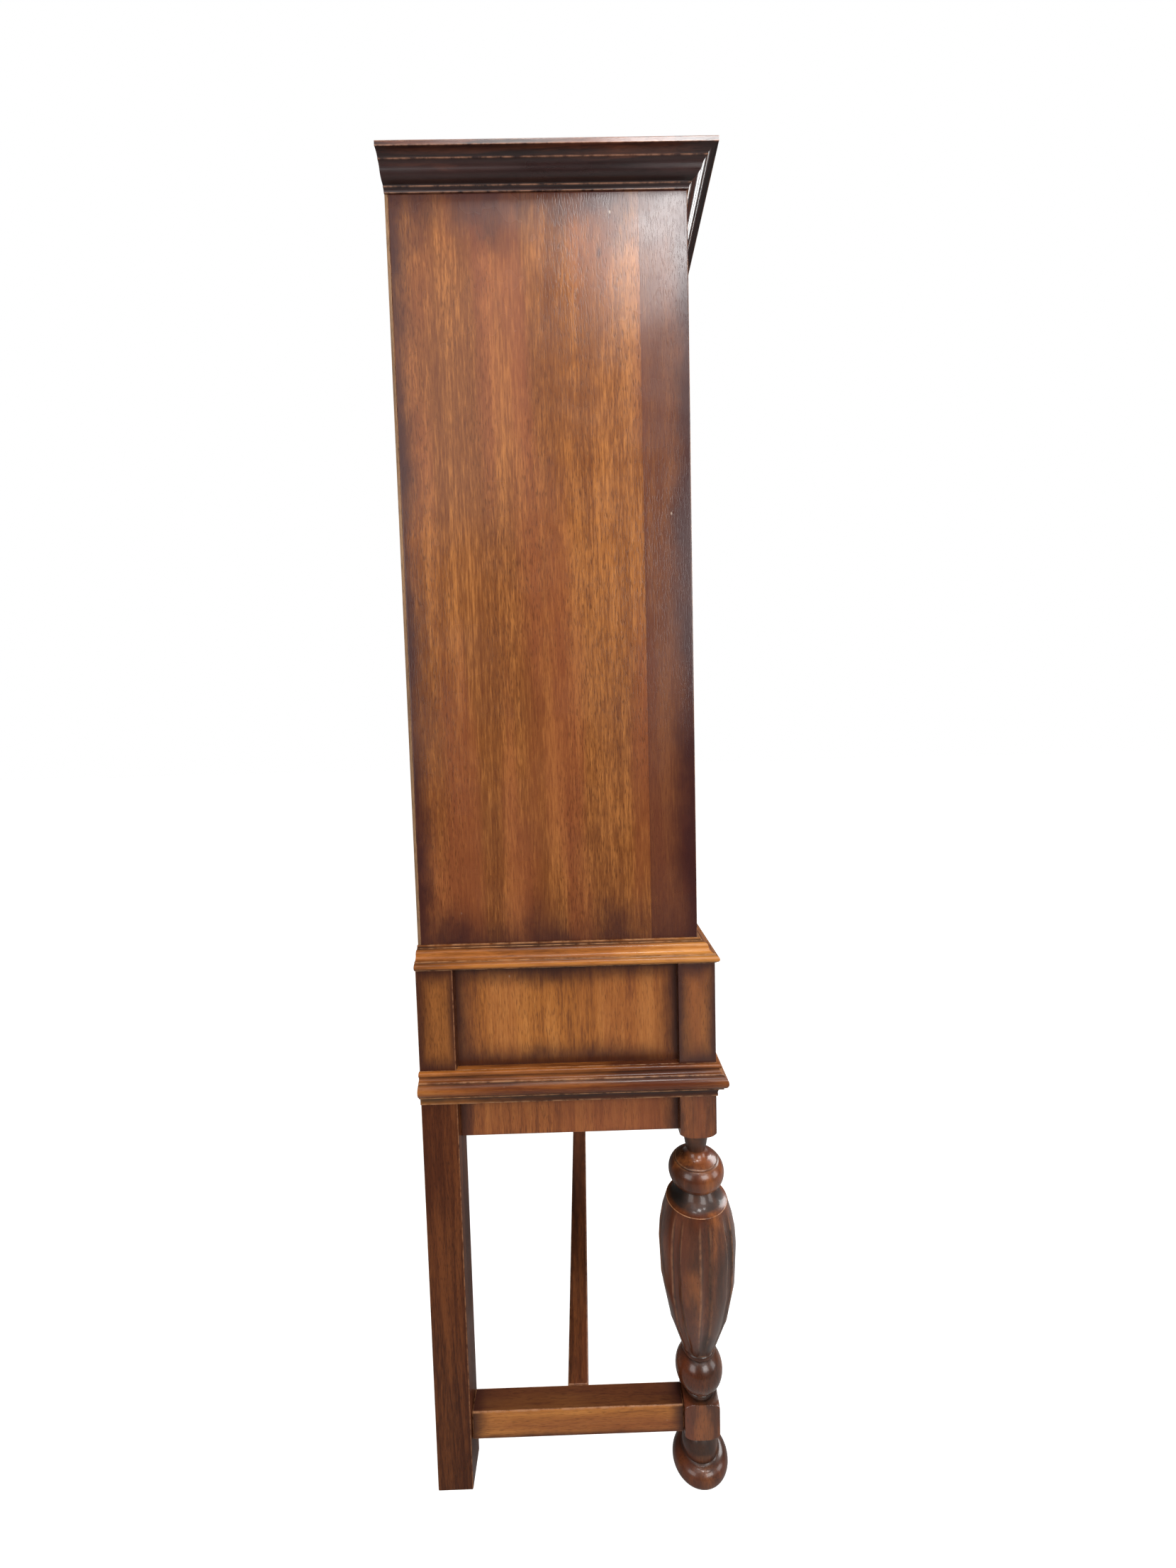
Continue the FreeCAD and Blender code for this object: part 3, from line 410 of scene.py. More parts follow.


# What years of use leave, with painted light: rubbed arrises that also paint a pale highlight, dirt in
# corners that also paints shade, dark spots and small pale nicks.
def handlingGroup():
    tree, given, result = newGroup("handling", [
        ("Vector", "Vector", (0, 0, 0)), ("Rub", "Float", 0.7), ("Dirt", "Float", 0.8),
        ("Nicks", "Float", 0.5)], ["Rubbed", "Dirty", "Nick", "Spot"])
    p = given["Vector"]
    broken = ease(tree, noise(tree, p, 70.0, 4.0, 0.65), 0.33, 0.62)
    wear = wire(tree, "ShaderNodeAttribute", attribute_name="wear").outputs["Fac"]
    grime = wire(tree, "ShaderNodeAttribute", attribute_name="grime").outputs["Fac"]
    rubbed = calc(tree, "MULTIPLY", calc(tree, "MULTIPLY", wear, broken), given["Rub"], clamp=True)
    uneven = ease(tree, noise(tree, p, 28.0, 3.0), 0.2, 0.7, 0.55, 1.0)
    dirty = calc(tree, "MULTIPLY", calc(tree, "MULTIPLY", grime, uneven), given["Dirt"], clamp=True)
    cells = wire(tree, "ShaderNodeTexVoronoi", {"Vector": stretched(tree, p, (1, 1, 0.55)), "Scale": 34.0})
    rare = ease(tree, noise(tree, p, 19.0, 1.0), 0.56, 0.64)
    small = ease(tree, cells.outputs["Distance"], 0.055, 0.02)
    nick = calc(tree, "MULTIPLY", calc(tree, "MULTIPLY", small, rare), given["Nicks"])
    spots = wire(tree, "ShaderNodeTexVoronoi", {"Vector": stretched(tree, p, (1, 1, 0.4)), "Scale": 16.0})
    faint = ease(tree, noise(tree, p, 7.0, 2.0), 0.52, 0.62)
    spot = calc(tree, "MULTIPLY", ease(tree, spots.outputs["Distance"], 0.07, 0.02), faint)
    return closeGroup(tree, result, Rubbed=rubbed, Dirty=dirty, Nick=nick, Spot=spot)


groups = {"grain": grainGroup(), "tone": toneGroup(), "handling": handlingGroup()}
grainTurn = {"x": (0, radians(-90), 0), "y": (radians(90), 0, 0), "z": (0, 0, 0)}
# weights are for streak, band, fibre and mottle. upper is another stain above a height, joint a seam across
# Y, patch a darker place between two Y and two Z, and toneBox the face whose borders stay dark, partly as
# painted shade.
woodDefaults = {
    "grain": "z", "shift": (0.0, 0.0, 0.0),
    "dark": (0.13, 0.036, 0.010), "mid": (0.275, 0.087, 0.020), "light": (0.42, 0.150, 0.036),
    "red": (0.235, 0.062, 0.024), "redness": 0.55, "edge": (0.040, 0.011, 0.008),
    "weights": (0.62, 0.08, 0.42, 0.55), "contrast": 2.6, "bands": 55.0, "wave": 9.0,
    "pores": 0.42, "poreScale": 760.0, "mottleScale": 13.0, "upper": None, "topShade": 0.0,
    "joint": None, "jointColour": (0.085, 0.025, 0.016), "jointAmount": 0.7, "seamAmount": 0.3,
    "patch": None, "patchColour": (0.12, 0.030, 0.014), "patchAmount": 0.6,
    "toneBox": None, "toneReach": 0.05, "cloud": 0.6, "tone": 0.85,
    # rub is the colour of wear and of a painted highlight on arrises, dirt that of dirt and of painted shade
    # in hollows
    "rub": (0.42, 0.19, 0.085), "rubAmount": 0.55, "dirt": (0.016, 0.009, 0.008), "dirtAmount": 0.85,
    "nickColour": (0.55, 0.42, 0.32), "nicks": 0.5, "spots": 0.6,
    "roughness": 0.34, "specular": 0.38, "coat": 0.12, "coatRoughness": 0.2, "bump": 0.12,
    "grainDepth": 0.0006,
}


# One axis of a position, as a socket.
def axisOf(tree, vector, axis):
    return wire(tree, "ShaderNodeSeparateXYZ", {0: vector}).outputs[axis]


# The grain's level is a half plus the weighted sum of its masks about a half, and a ramp turns it into
# dark, mid and light. Returns the colour and a mask of where the ordinary border tone holds.
def stainedGrain(tree, w, place, g):
    total = 0.0
    for label, weight in zip(("Streak", "Band", "Fibre", "Mottle"), w["weights"]):
        part = calc(tree, "MULTIPLY", calc(tree, "SUBTRACT", g[label], 0.5), weight * w["contrast"])
        total = calc(tree, "ADD", part, total)
    level = calc(tree, "ADD", total, 0.5, clamp=True)
    ramp = wire(tree, "ShaderNodeValToRGB", {"Fac": level})
    stops = ramp.color_ramp.elements
    stops.new(0.5)
    for stop, where, key in zip(stops, (0.02, 0.5, 0.98), ("dark", "mid", "light")):
        stop.position = where
        stop.color = (*w[key], 1)
    colour, upperMask = ramp.outputs[0], 1.0
    if w["upper"]:  # the square post above a moulding is stained lighter than the leg below it
        upperRamp = wire(tree, "ShaderNodeValToRGB", {"Fac": level})
        for stop, key in zip(upperRamp.color_ramp.elements, ("dark", "light")):
            stop.color = (*w["upper"][key], 1)
        upperMask = ease(tree, axisOf(tree, place, "Z"), w["upper"]["from"], w["upper"]["from"] + 0.01)
        colour = blendColour(tree, upperMask, colour, upperRamp.outputs[0])
    colour = blendColour(tree, ease(tree, g["Warmth"], 0.42, 0.66, 0.0, w["redness"]), colour, w["red"])
    poreColour = tuple(0.45 * c for c in w["dark"])
    return blendColour(tree, calc(tree, "MULTIPLY", g["Pore"], w["pores"]), colour, poreColour), upperMask


# A darker place on a board, with edges that soften over 2 mm across and 6 mm up.
def patched(tree, w, place, colour):
    (y0, y1), (z0, z1) = w["patch"]
    y, z = axisOf(tree, place, "Y"), axisOf(tree, place, "Z")
    inY = calc(tree, "MULTIPLY", ease(tree, y, y0, y0 + 0.002), ease(tree, y, y1, y1 - 0.002))
    inZ = calc(tree, "MULTIPLY", ease(tree, z, z0, z0 + 0.006), ease(tree, z, z1, z1 - 0.006))
    share = calc(tree, "MULTIPLY", calc(tree, "MULTIPLY", inY, inZ), w["patchAmount"])
    return blendColour(tree, share, colour, w["patchColour"])


# The dark border of a face, partly painted shade, from the nearness to the sides of its box.
def bordered(tree, w, place, colour, upperMask):
    low, high = (Vector(corner) for corner in w["toneBox"])
    reach = w["toneReach"]
    tone = wire(tree, "ShaderNodeGroup", node_tree=groups["tone"])
    tree.links.new(place, tone.inputs["Vector"])
    tone.inputs["Centre"].default_value = (low + high) / 2
    tone.inputs["Half"].default_value = (high - low) / 2
    tone.inputs["Reach"].default_value = reach if isinstance(reach, tuple) else (reach,) * 3
    tone.inputs["Cloud"].default_value = w["cloud"]
    border = calc(tree, "MULTIPLY", calc(tree, "MULTIPLY", tone.outputs[0], w["tone"]), upperMask)
    return blendColour(tree, border, colour, w["edge"])


# A varnished wood: grain colours, border tone and dirt that are partly painted shade, rubbed arrises that are
# partly painted highlights, and nicks over a satin coat.
def woodMaterial(name, **changes):
    w = {**woodDefaults, **changes}
    material = bpy.data.materials.new(name)
    material.use_nodes = True
    tree = material.node_tree
    tree.nodes.clear()
    place = wire(tree, "ShaderNodeTexCoord").outputs["Object"]
    toGrain = wire(tree, "ShaderNodeMapping", {"Vector": place, "Location": w["shift"],
                                               "Rotation": grainTurn[w["grain"]]}).outputs[0]
    if w["joint"]:  # the board beyond the joint is cut from elsewhere in the wood
        across = axisOf(tree, place, "Y")
        otherBoard = calc(tree, "LESS_THAN", across, w["joint"])
        moved = wire(tree, "ShaderNodeVectorMath", {0: (3.1, 7.7, 2.3), "Scale": otherBoard},
                     operation="SCALE")
        toGrain = wire(tree, "ShaderNodeVectorMath", {0: toGrain, 1: moved.outputs[0]}).outputs[0]
    grain = wire(tree, "ShaderNodeGroup", node_tree=groups["grain"])
    tree.links.new(toGrain, grain.inputs["Vector"])
    for label, key in (("Bands", "bands"), ("Band Wave", "wave"), ("Pore Scale", "poreScale"),
                       ("Mottle Scale", "mottleScale")):
        grain.inputs[label].default_value = w[key]
    g = grain.outputs
    colour, upperMask = stainedGrain(tree, w, place, g)
    if w["joint"]:
        share = calc(tree, "MULTIPLY", otherBoard, w["jointAmount"])
        colour = blendColour(tree, share, colour, w["jointColour"])
        line = calc(tree, "ABSOLUTE", calc(tree, "SUBTRACT", across, w["joint"]))
        seam = ease(tree, line, 0.0012, 0.0003, 0.0, w["seamAmount"])
        colour = blendColour(tree, seam, colour, w["edge"])
    if w["patch"]:
        colour = patched(tree, w, place, colour)
    if w["toneBox"]:
        colour = bordered(tree, w, place, colour, upperMask)
    if w["topShade"]:  # faces that point up are painted darker than the front, as shade
        upward = axisOf(tree, wire(tree, "ShaderNodeTexCoord").outputs["Normal"], "Z")
        colour = blendColour(tree, ease(tree, upward, 0.75, 0.95, 0.0, w["topShade"]), colour, w["edge"])
    use = wire(tree, "ShaderNodeGroup", node_tree=groups["handling"])
    tree.links.new(toGrain, use.inputs["Vector"])
    for label, key in (("Rub", "rubAmount"), ("Dirt", "dirtAmount"), ("Nicks", "nicks")):
        use.inputs[label].default_value = w[key]
    colour = blendColour(tree, calc(tree, "MULTIPLY", use.outputs["Spot"], w["spots"]), colour, w["edge"])
    # the dirty share paints dirt and shade, the rubbed share wear and a pale highlight
    for label, key in (("Dirty", "dirt"), ("Rubbed", "rub"), ("Nick", "nickColour")):
        colour = blendColour(tree, use.outputs[label], colour, w[key])
    smear = noise(tree, place, 9.0, 3.0, 0.6)
    gloss = calc(tree, "ADD", ease(tree, smear, 0.25, 0.75, w["roughness"] - 0.05, w["roughness"] + 0.08),
                 calc(tree, "MULTIPLY", use.outputs["Dirty"], 0.2))
    lift = calc(tree, "SUBTRACT", calc(tree, "MULTIPLY", g["Fibre"], 0.35), g["Pore"])
    lift = calc(tree, "SUBTRACT", lift, use.outputs["Nick"])
    bump = wire(tree, "ShaderNodeBump", {
        "Strength": w["bump"], "Distance": w["grainDepth"], "Height": lift})
    shader = wire(tree, "ShaderNodeBsdfPrincipled", {
        "Base Color": colour, "Roughness": gloss, "Normal": bump.outputs[0], "IOR": 1.48,
        "Specular IOR Level": w["specular"], "Coat Weight": w["coat"],
        "Coat Roughness": w["coatRoughness"]})
    wire(tree, "ShaderNodeOutputMaterial", {"Surface": shader.outputs[0]})
    return material


# A node's box in the frame, in millimetres.
def nodeBox(node):
    low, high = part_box(node)
    return np.array(low) / mm, np.array(high) / mm


# A box in metres for a tone; the axes named in wide don't count.
def metres(low, high, wide=()):
    low, high = np.array(low, float) * mm, np.array(high, float) * mm
    for axis in wide:
        low[axis] -= 5
        high[axis] += 5
    return tuple(low), tuple(high)


# places and sizes read from the frame, in millimetres
sideLow, sideHigh = nodeBox("case_side_left")
legLow, legHigh = nodeBox("back_leg_left")
frontLow = nodeBox("drawer_top_rail")[0]
xCase, xLeg = -sideLow[0], -legLow[0]
yBack, yCase, yFront = legHigh[1], sideLow[1], frontLow[1]
legSide = legHigh[0] - legLow[0]
yIn0, yIn1 = yFront + legSide, yBack - legSide  # between the posts
zStandTop = legHigh[2]
baseLow, baseHigh = nodeBox("base_moulding_front")
waistLow, waistHigh = nodeBox("waist_moulding_front")
crownLow, crownHigh = nodeBox("cornice_front")
print("frame measured")

# the case sides: two boards each, the narrow one in front, and on the left a stain low on the front edge
narrowBoard = 64
frontStain = (((yCase + 1) * mm, (yCase + 20) * mm), (0.868, 0.985))  # from and to, along Y and up, in metres
caseLook = {
    "mid": (0.205, 0.067, 0.017), "light": (0.39, 0.144, 0.036), "edge": (0.040, 0.011, 0.010),
    "weights": (0.60, 0.05, 0.62, 0.42), "bands": 70.0, "wave": 15.0, "pores": 0.5, "redness": 0.5,
    "roughness": 0.25, "coat": 0.08, "specular": 0.36, "joint": (yCase + narrowBoard) * mm,
    "toneBox": metres(sideLow, sideHigh + [0, 4, -8], wide=(0,)),  # its dark top border, painted shade of the cornice, starts under the cornice
    "toneReach": (1.0, 0.040, 0.110), "cloud": 1.3, "tone": 0.96,
}
caseWood = {
    "left": woodMaterial("caseWoodLeft", shift=(0.0, 0.035, 0.0), patch=frontStain, **caseLook),
    "right": woodMaterial("caseWoodRight", shift=(0.4, 1.7, 3.3), **caseLook),
}
# the cornice's near-black colours are partly painted shade on its downward faces, and its coppery rub paints
# a highlight on the arrises
corniceLook = {
    "dark": (0.014, 0.006, 0.006), "mid": (0.034, 0.014, 0.013), "light": (0.15, 0.050, 0.028),
    "red": (0.06, 0.02, 0.015), "edge": (0.006, 0.003, 0.003), "rub": (0.36, 0.17, 0.10),
    "weights": (0.5, 0.1, 0.25, 0.9), "coat": 0.35, "roughness": 0.28, "rubAmount": 0.9, "nicks": 0.2,
}
corniceWood = {axis: woodMaterial("corniceWood" + axis.upper(), grain=axis, **corniceLook) for axis in "xy"}
# the mouldings' pale rub paints highlight lines on the arrises, and their near-black dirt colour paints shade
# in quirks and hollows
mouldingLook = {
    "dark": (0.08, 0.020, 0.006), "mid": (0.40, 0.130, 0.025), "light": (0.66, 0.27, 0.058),
    "red": (0.15, 0.034, 0.012), "redness": 0.45, "rub": (0.60, 0.30, 0.14), "rubAmount": 0.8,
    "dirt": (0.012, 0.005, 0.003), "dirtAmount": 1.0, "weights": (0.6, 0.05, 0.22, 0.95),
    "mottleScale": 9.0, "pores": 0.25, "coat": 0.3, "specular": 0.28, "roughness": 0.25, "bump": 0.07,
}
mouldingWood = {axis: woodMaterial("mouldingWood" + axis.upper(), grain=axis, **mouldingLook)
                for axis in "xy"}
# the posts' paler stretch, from a height in metres over the base moulding
upperPost = {"from": 0.610, "dark": (0.11, 0.033, 0.009), "light": (0.36, 0.125, 0.029)}


# The border box of one post's stretch between the two mouldings.
def postTone(y0):
    return metres([-xLeg, y0, baseHigh[2]], [xLeg, y0 + legSide, zStandTop], wide=(0,))


backLegWood = woodMaterial(
    "backLegWood", dark=(0.032, 0.007, 0.002), mid=(0.066, 0.017, 0.005), light=(0.18, 0.053, 0.014),
    red=(0.10, 0.022, 0.006), redness=0.4, shift=(0.3, 0.2, 0.7), upper=upperPost, specular=0.2, coat=0.05,
    toneBox=postTone(yBack - legSide), toneReach=(1.0, 0.018, 0.034), tone=0.9, cloud=1.0)
panelWood = woodMaterial(
    "stagePanelWood", mid=(0.34, 0.112, 0.020), light=(0.48, 0.18, 0.04), edge=(0.04, 0.010, 0.006),
    redness=0.3, weights=(0.7, 0.05, 0.5, 0.6), shift=(0, 0.33, 0.1),
    toneBox=metres([-xLeg, yIn0, baseHigh[2]], [xLeg, yIn1, zStandTop], wide=(0,)),
    toneReach=(1.0, 0.040, 0.040), tone=0.95, cloud=1.2)
apronLow, apronHigh = nodeBox("side_apron_left")
zApron = apronLow[2] - 12  # the tone's box reaches below the apron, so its lower edge stays light
# the apron's dark border paints shade under the moulding above it and beside the posts
apronTone = {
    "y": metres([-xLeg, yIn0, zApron], [xLeg, yIn1, apronHigh[2]], wide=(0,)),
    "x": metres([legSide - xLeg, yFront, zApron], [xLeg - legSide, yBack, apronHigh[2]], wide=(1,)),
}
apronWood = {axis: woodMaterial(
    "apronWood" + axis.upper(), dark=(0.12, 0.030, 0.009), mid=(0.28, 0.084, 0.021),
    light=(0.40, 0.138, 0.034), shift=(0, 0.9, 0.4), toneBox=apronTone[axis],
    toneReach=(0.03, 0.03, 0.018), tone=0.9, cloud=1.0) for axis in "xy"}
turnedWood = woodMaterial(
    "turnedWood", dark=(0.032, 0.009, 0.003), mid=(0.090, 0.026, 0.009), light=(0.27, 0.083, 0.022),
    red=(0.19, 0.042, 0.014), dirt=(0.012, 0.007, 0.005), coat=0.35, coatRoughness=0.12, roughness=0.26,
    specular=0.45, weights=(0.30, 0.03, 0.22, 0.95), mottleScale=26.0, rubAmount=0.75, bump=0.05,
    nicks=0.25, upper=upperPost, toneBox=postTone(yFront), toneReach=(1.0, 0.020, 0.034), tone=0.95,
    cloud=1.1)
stretcherLow, stretcherHigh = nodeBox("side_stretcher_left")
stretcherWood = {
    "y": woodMaterial(
        "stretcherWoodY", grain="y", dark=(0.14, 0.040, 0.010), mid=(0.43, 0.152, 0.034),
        light=(0.56, 0.22, 0.052), shift=(0.1, 0.5, 0.2), topShade=0.75, specular=0.25, rubAmount=1.0,
        toneBox=metres([-xLeg, yIn0, stretcherLow[2]], [xLeg, yIn1, stretcherHigh[2] + 9], wide=(0,)),
        toneReach=(1.0, 0.030, 0.012), tone=0.9, cloud=0.9),
    # the centre stretcher is a darker copy of the stretchers' wood, which paints the shade it lies in
    "x": woodMaterial(
        "stretcherWoodX", grain="x", dark=(0.035, 0.010, 0.004), mid=(0.085, 0.024, 0.008),
        light=(0.17, 0.052, 0.015), shift=(0.1, 0.5, 0.2)),
}
drawerBoxWood = woodMaterial(
    "drawerBoxWood", grain="x", dark=(0.30, 0.17, 0.075), mid=(0.46, 0.29, 0.14), light=(0.60, 0.41, 0.22),
    red=(0.40, 0.24, 0.11), edge=(0.16, 0.09, 0.045), weights=(0.4, 0.2, 0.45, 0.12), pores=0.25,
    coat=0.0, roughness=0.62, nicks=0.0)
innerWood = woodMaterial(
    "innerWood", dark=(0.10, 0.05, 0.022), mid=(0.21, 0.115, 0.055), light=(0.32, 0.19, 0.10),
    red=(0.17, 0.09, 0.042), coat=0.0, roughness=0.66, nicks=0.1)
knobWood = woodMaterial(
    "knobWood", grain="y", dark=(0.025, 0.008, 0.005), mid=(0.075, 0.022, 0.010),
    light=(0.17, 0.052, 0.020), coat=0.6, roughness=0.24, nicks=0.0)
railWood = woodMaterial(
    "railWood", grain="x", dark=(0.06, 0.016, 0.007), mid=(0.17, 0.05, 0.017), light=(0.29, 0.095, 0.030))
print("materials made")

# mouldings, in millimetres: how far each stands out from its wall, the stations along a run, how far painted
# shade looks for shelter and where it starts and is full, and the base moulding's tongues
moulding = {"corniceReach": 34.0, "waistReach": 26.0, "baseReach": 15.0, "stations": 30,
            "waistDirt": (5.0, 0.2, 2.0), "baseDirt": (13.0, 0.6, 9.0), "sideTongue": 11, "frontTongue": 15,
            "tongueEdge": 0.6}


# Cushion, quirk, rising hollow, ogee and a flat fascia with softened arrises.
def corniceProfile():
    reach, height = moulding["corniceReach"], crownHigh[2] - crownLow[2]
    return outline([
        (0, 0), (2.0, 0), (5, 5, 2.8, 3.2), (5, 7), (9, 8),
        (reach - 17.5, height - 18.5, reach - 20.5, height - 23.5),
        (reach - 11, height - 12, reach - 14.5, height - 13.8), (reach - 11, height - 10),
        (reach - 1, height - 7, reach - 7.5, height - 7.8), (reach, height - 7), (reach, height - 1),
        (reach - 1, height), (0, height)], closed=True)


# Half round along the lower edge, a quirk, an ogee slope and an upper fillet.
def waistProfile():
    reach, height = moulding["waistReach"], waistHigh[2] - waistLow[2]
    return outline([
        (0, 0), (reach - 4, 0), (reach - 4, 1), (reach - 4, 10, reach, 5.5), (reach - 5, 11),
        (reach - 5, 12.5), (reach - 13, height - 11, reach - 10.2, height - 16.2),
        (reach - 20, height - 5, reach - 15.2, height - 6), (reach - 20, height - 3.5),
        (reach - 22, height - 3.5), (reach - 22, height), (0, height)], closed=True)


# Hollow and fillet below, the large half round, then a quirk, a small ogee and a top bead.
def baseProfile():
    reach, height = moulding["baseReach"], baseHigh[2] - baseLow[2]
    return outline([
        (0, 0), (reach - 13, 0), (reach - 13, 3), (reach - 8, 13, reach - 11.7, 9.8), (reach - 6, 13),
        (reach - 6, 15), (reach - 6, height - 15, reach, height / 2), (reach - 6, height - 13.5),
        (reach - 7, height - 12.5), (reach - 11, height - 7, reach - 10.2, height - 10.6),
        (reach - 10, height - 6.5), (reach - 12, height, reach - 8.6, height - 2.2), (0, height)],
        closed=True)


# A run of moulding, with the plain tongues that belong to its node, as one piece.
def mouldingRun(node, profile, place, tongues, wood):
    shapes = [sweep(profile, moulding["stations"], place)] + [board(*box) for box in tongues]
    shapes = [flipped(shape) if volume(shape) < 0 else shape for shape in shapes]
    makePiece(node + "_run", joined(shapes), "carcass", [node], wood)


# Two returns and a front, mitred at the front corners: on a return the end backs off by the reach, and on
# the front it grows by the reach, so the two meet on the corner's bisector.
def mouldingSet(name, profile, xWall, yWall, zFrom, woods, tongues=None):
    tongues = tongues or {}
    for side, word in ((-1, "left"), (1, "right")):
        mouldingRun("%s_%s" % (name, word), profile, lambda r, h, t, side=side: (
            side * (xWall + r) + 0 * t, yBack + (yWall - r - yBack) * t, zFrom + h + 0 * t),
            tongues.get(word, ()), woods["y"])
    mouldingRun(name + "_front", profile, lambda r, h, t: (
        (xWall + r) * (2 * t - 1), yWall - r + 0 * t, zFrom + h + 0 * t),
        tongues.get("front", ()), woods["x"])


# the base moulding's tongues fill the stand's walls between the posts: low corner, high corner, edge radius
xSide, yTongue = xLeg - moulding["sideTongue"], yFront + moulding["frontTongue"]
zBase0, zBase1, tongueEdge = baseLow[2], baseHigh[2], moulding["tongueEdge"]
baseTongues = {
    "left": [([-xLeg, yIn0, zBase0], [-xSide, yIn1, zBase1], tongueEdge)],
    "right": [([xSide, yIn0, zBase0], [xLeg, yIn1, zBase1], tongueEdge)],
    "front": [([-xLeg + legSide, yFront, zBase0], [xLeg - legSide, yTongue, zBase1], tongueEdge)],
}
mouldingSet("cornice", corniceProfile(), xCase, yCase, crownLow[2], corniceWood)
# painted shade in the waist and base mouldings' quirks, hollows and undersides
waistOutline = recessed(waistProfile(), *moulding["waistDirt"])
baseOutline = recessed(baseProfile(), *moulding["baseDirt"])
mouldingSet("waist_moulding", waistOutline, xCase, yCase, waistLow[2], mouldingWood)
mouldingSet("base_moulding", baseOutline, xLeg, yFront, zBase0, mouldingWood, baseTongues)
print("mouldings made")

# turned front legs: heights and radii in millimetres; ball is its circle's foot, widest place and crown
turning = {
    "around": 176, "block": (64, 120), "postFrom": 525, "pommel": 9.0, "blockFace": 0.48,
    "blockCorner": 0.72, "pastCorner": 37, "ball": ((24.0, 441.5), (40.0, 462.9), (26.0, 483.0)),
    "ringAt": 479.0, "ringDepth": 2.2, "fluteCount": 8, "fluteTurn": 2.0, "fluteHalf": 7.0,
    "fluteDepth": 4.0, "flutes": (192, 409), "fadeLow": 8, "fadeHigh": 26,
}
# dirt with painted shade and wear with painted highlights on the turned legs: heights, radii and distances in
# millimetres, and amounts from 0 to 1
legUse = {
    "dirt": (30.0, 3.0, 9.0), "flatShare": 0.25, "collar": (424, 444), "collarDirt": 1.2, "foot": (1, 58),
    "footDirt": 0.35, "lip": (414, 420.4, 423), "lipRadius": 43.4, "lipRub": 1.4,
    "bulb": (200, 405), "floorHalf": 5, "floorDirt": 0.25, "shoulderIn": 1.4, "edgeOut": 0.4,
    "lineHalf": 1.1, "edgeRub": 0.7,
}


# The curve that a lathe leaves on a square block's end, from its small circle to past its corners.
def pommelPoints(zEnd, zInner):
    face, corner = turning["blockFace"] * legSide, turning["blockCorner"] * legSide
    return (face, zEnd), (corner, zInner, 0.35 * face + 0.65 * corner, 0.68 * zEnd + 0.32 * zInner)


# A point of the ball's circle: the centre's radius plus sqrt(R^2 - (height from the centre)^2).
def ballPoint(height):
    ux, uy = circleCentre(*turning["ball"])
    ax, ay = turning["ball"][0]
    return ux + np.sqrt((ax - ux) ** 2 + (ay - uy) ** 2 - (height - uy) ** 2), height


# The ball up to a height, then a narrow incised ring.
def ringedBall(height):
    r, h = ballPoint(height)
    return (r, h, *turning["ball"][1]), (r - turning["ringDepth"], h + 0.8), ballPoint(h + 1.8)


# The front leg's outline from the sole to the stand's top; past a block's corners the radius is only
# kept larger than the square.
def legProfile():
    pommel, past, postFrom = turning["pommel"], turning["pastCorner"], turning["postFrom"]
    blockLow, blockHigh = turning["block"]
    low, up = pommelPoints(blockLow, blockLow + pommel)
    lowTop, upTop = pommelPoints(blockHigh, blockHigh - pommel)
    post, postUp = pommelPoints(postFrom, postFrom + pommel)
    return outline([
        (0.01, 0), (30, 0), (41, 11, 38.25, 3.3), (28.5, 27, 37.5, 21.4), (26.5, 28.5),  # bun foot
        (17, 57, 24.5, 45), (17, blockLow),  # its neck
        low, up, (past, blockLow + pommel + 1), (past, blockHigh - pommel - 1),  # square block
        upTop[:2], (*lowTop, *upTop[2:]), (20, blockHigh), (18, 128, 21.5, 124),
        (20, 182, 34.6, 156.1), (21.6, 191, 24, 186.5), (24.6, 192.5),  # small ball
        (55.8, 357, 45.97, 258.44), (44, 421, 52.85, 389), (40.5, 422),  # bulb, up to the collar's lip
        (23, 440, 28, 431.9), turning["ball"][0],  # collar
        *ringedBall(turning["ringAt"]), (*turning["ball"][2], *ballPoint(482.2)), (24, 484),
        (13.5, 494, 17, 488), (18, 520, 16.5, 508.3), (18, postFrom),  # neck
        post, postUp, (past, postFrom + pommel + 1), (past, zStandTop), (0.01, zStandTop)], closed=False)


# How far round the surface a point lies from the middle line of its flute.
def fromFlute(radius, angle):
    pitch = 2 * pi / turning["fluteCount"]
    away = (angle - radians(turning["fluteTurn"]) + pitch / 2) % pitch - pitch / 2
    return np.abs(away * radius)


# Where the profile is past the square's faces the square wins. Down the bulb, round-bottomed flutes are
# pressed in at even angles, depth sqrt(1 - off^2), and fade out at the shoulder.
def legRadius(radius, height, angle):
    (blockLow, blockHigh), (fluteLow, fluteHigh) = turning["block"], turning["flutes"]
    square = legSide / 2 / np.maximum(np.abs(np.cos(angle)), np.abs(np.sin(angle)))
    block = ((height > blockLow - 0.1) & (height < blockHigh + 0.1)) | (height > turning["postFrom"] - 0.1)
    turned = np.where(block, np.minimum(radius, square), radius)
    off = np.clip(fromFlute(radius, angle) / turning["fluteHalf"], 0, 1)
    hollow = np.sqrt(1 - off ** 2) * (1 - 0.25 * off)
    window = (np.clip((height - fluteLow) / turning["fadeLow"], 0, 1)
              * np.clip((fluteHigh - height) / turning["fadeHigh"], 0, 1))
    return turned - turning["fluteDepth"] * hollow * np.sqrt(window)


# A line at a distance from the flute's middle, which paints shade at a shoulder and wear with a highlight at
# an edge: exp(-((distance - at) / half)^2).
def fluteLine(distance, at):
    return np.exp(-((distance - at) / legUse["lineHalf"]) ** 2)
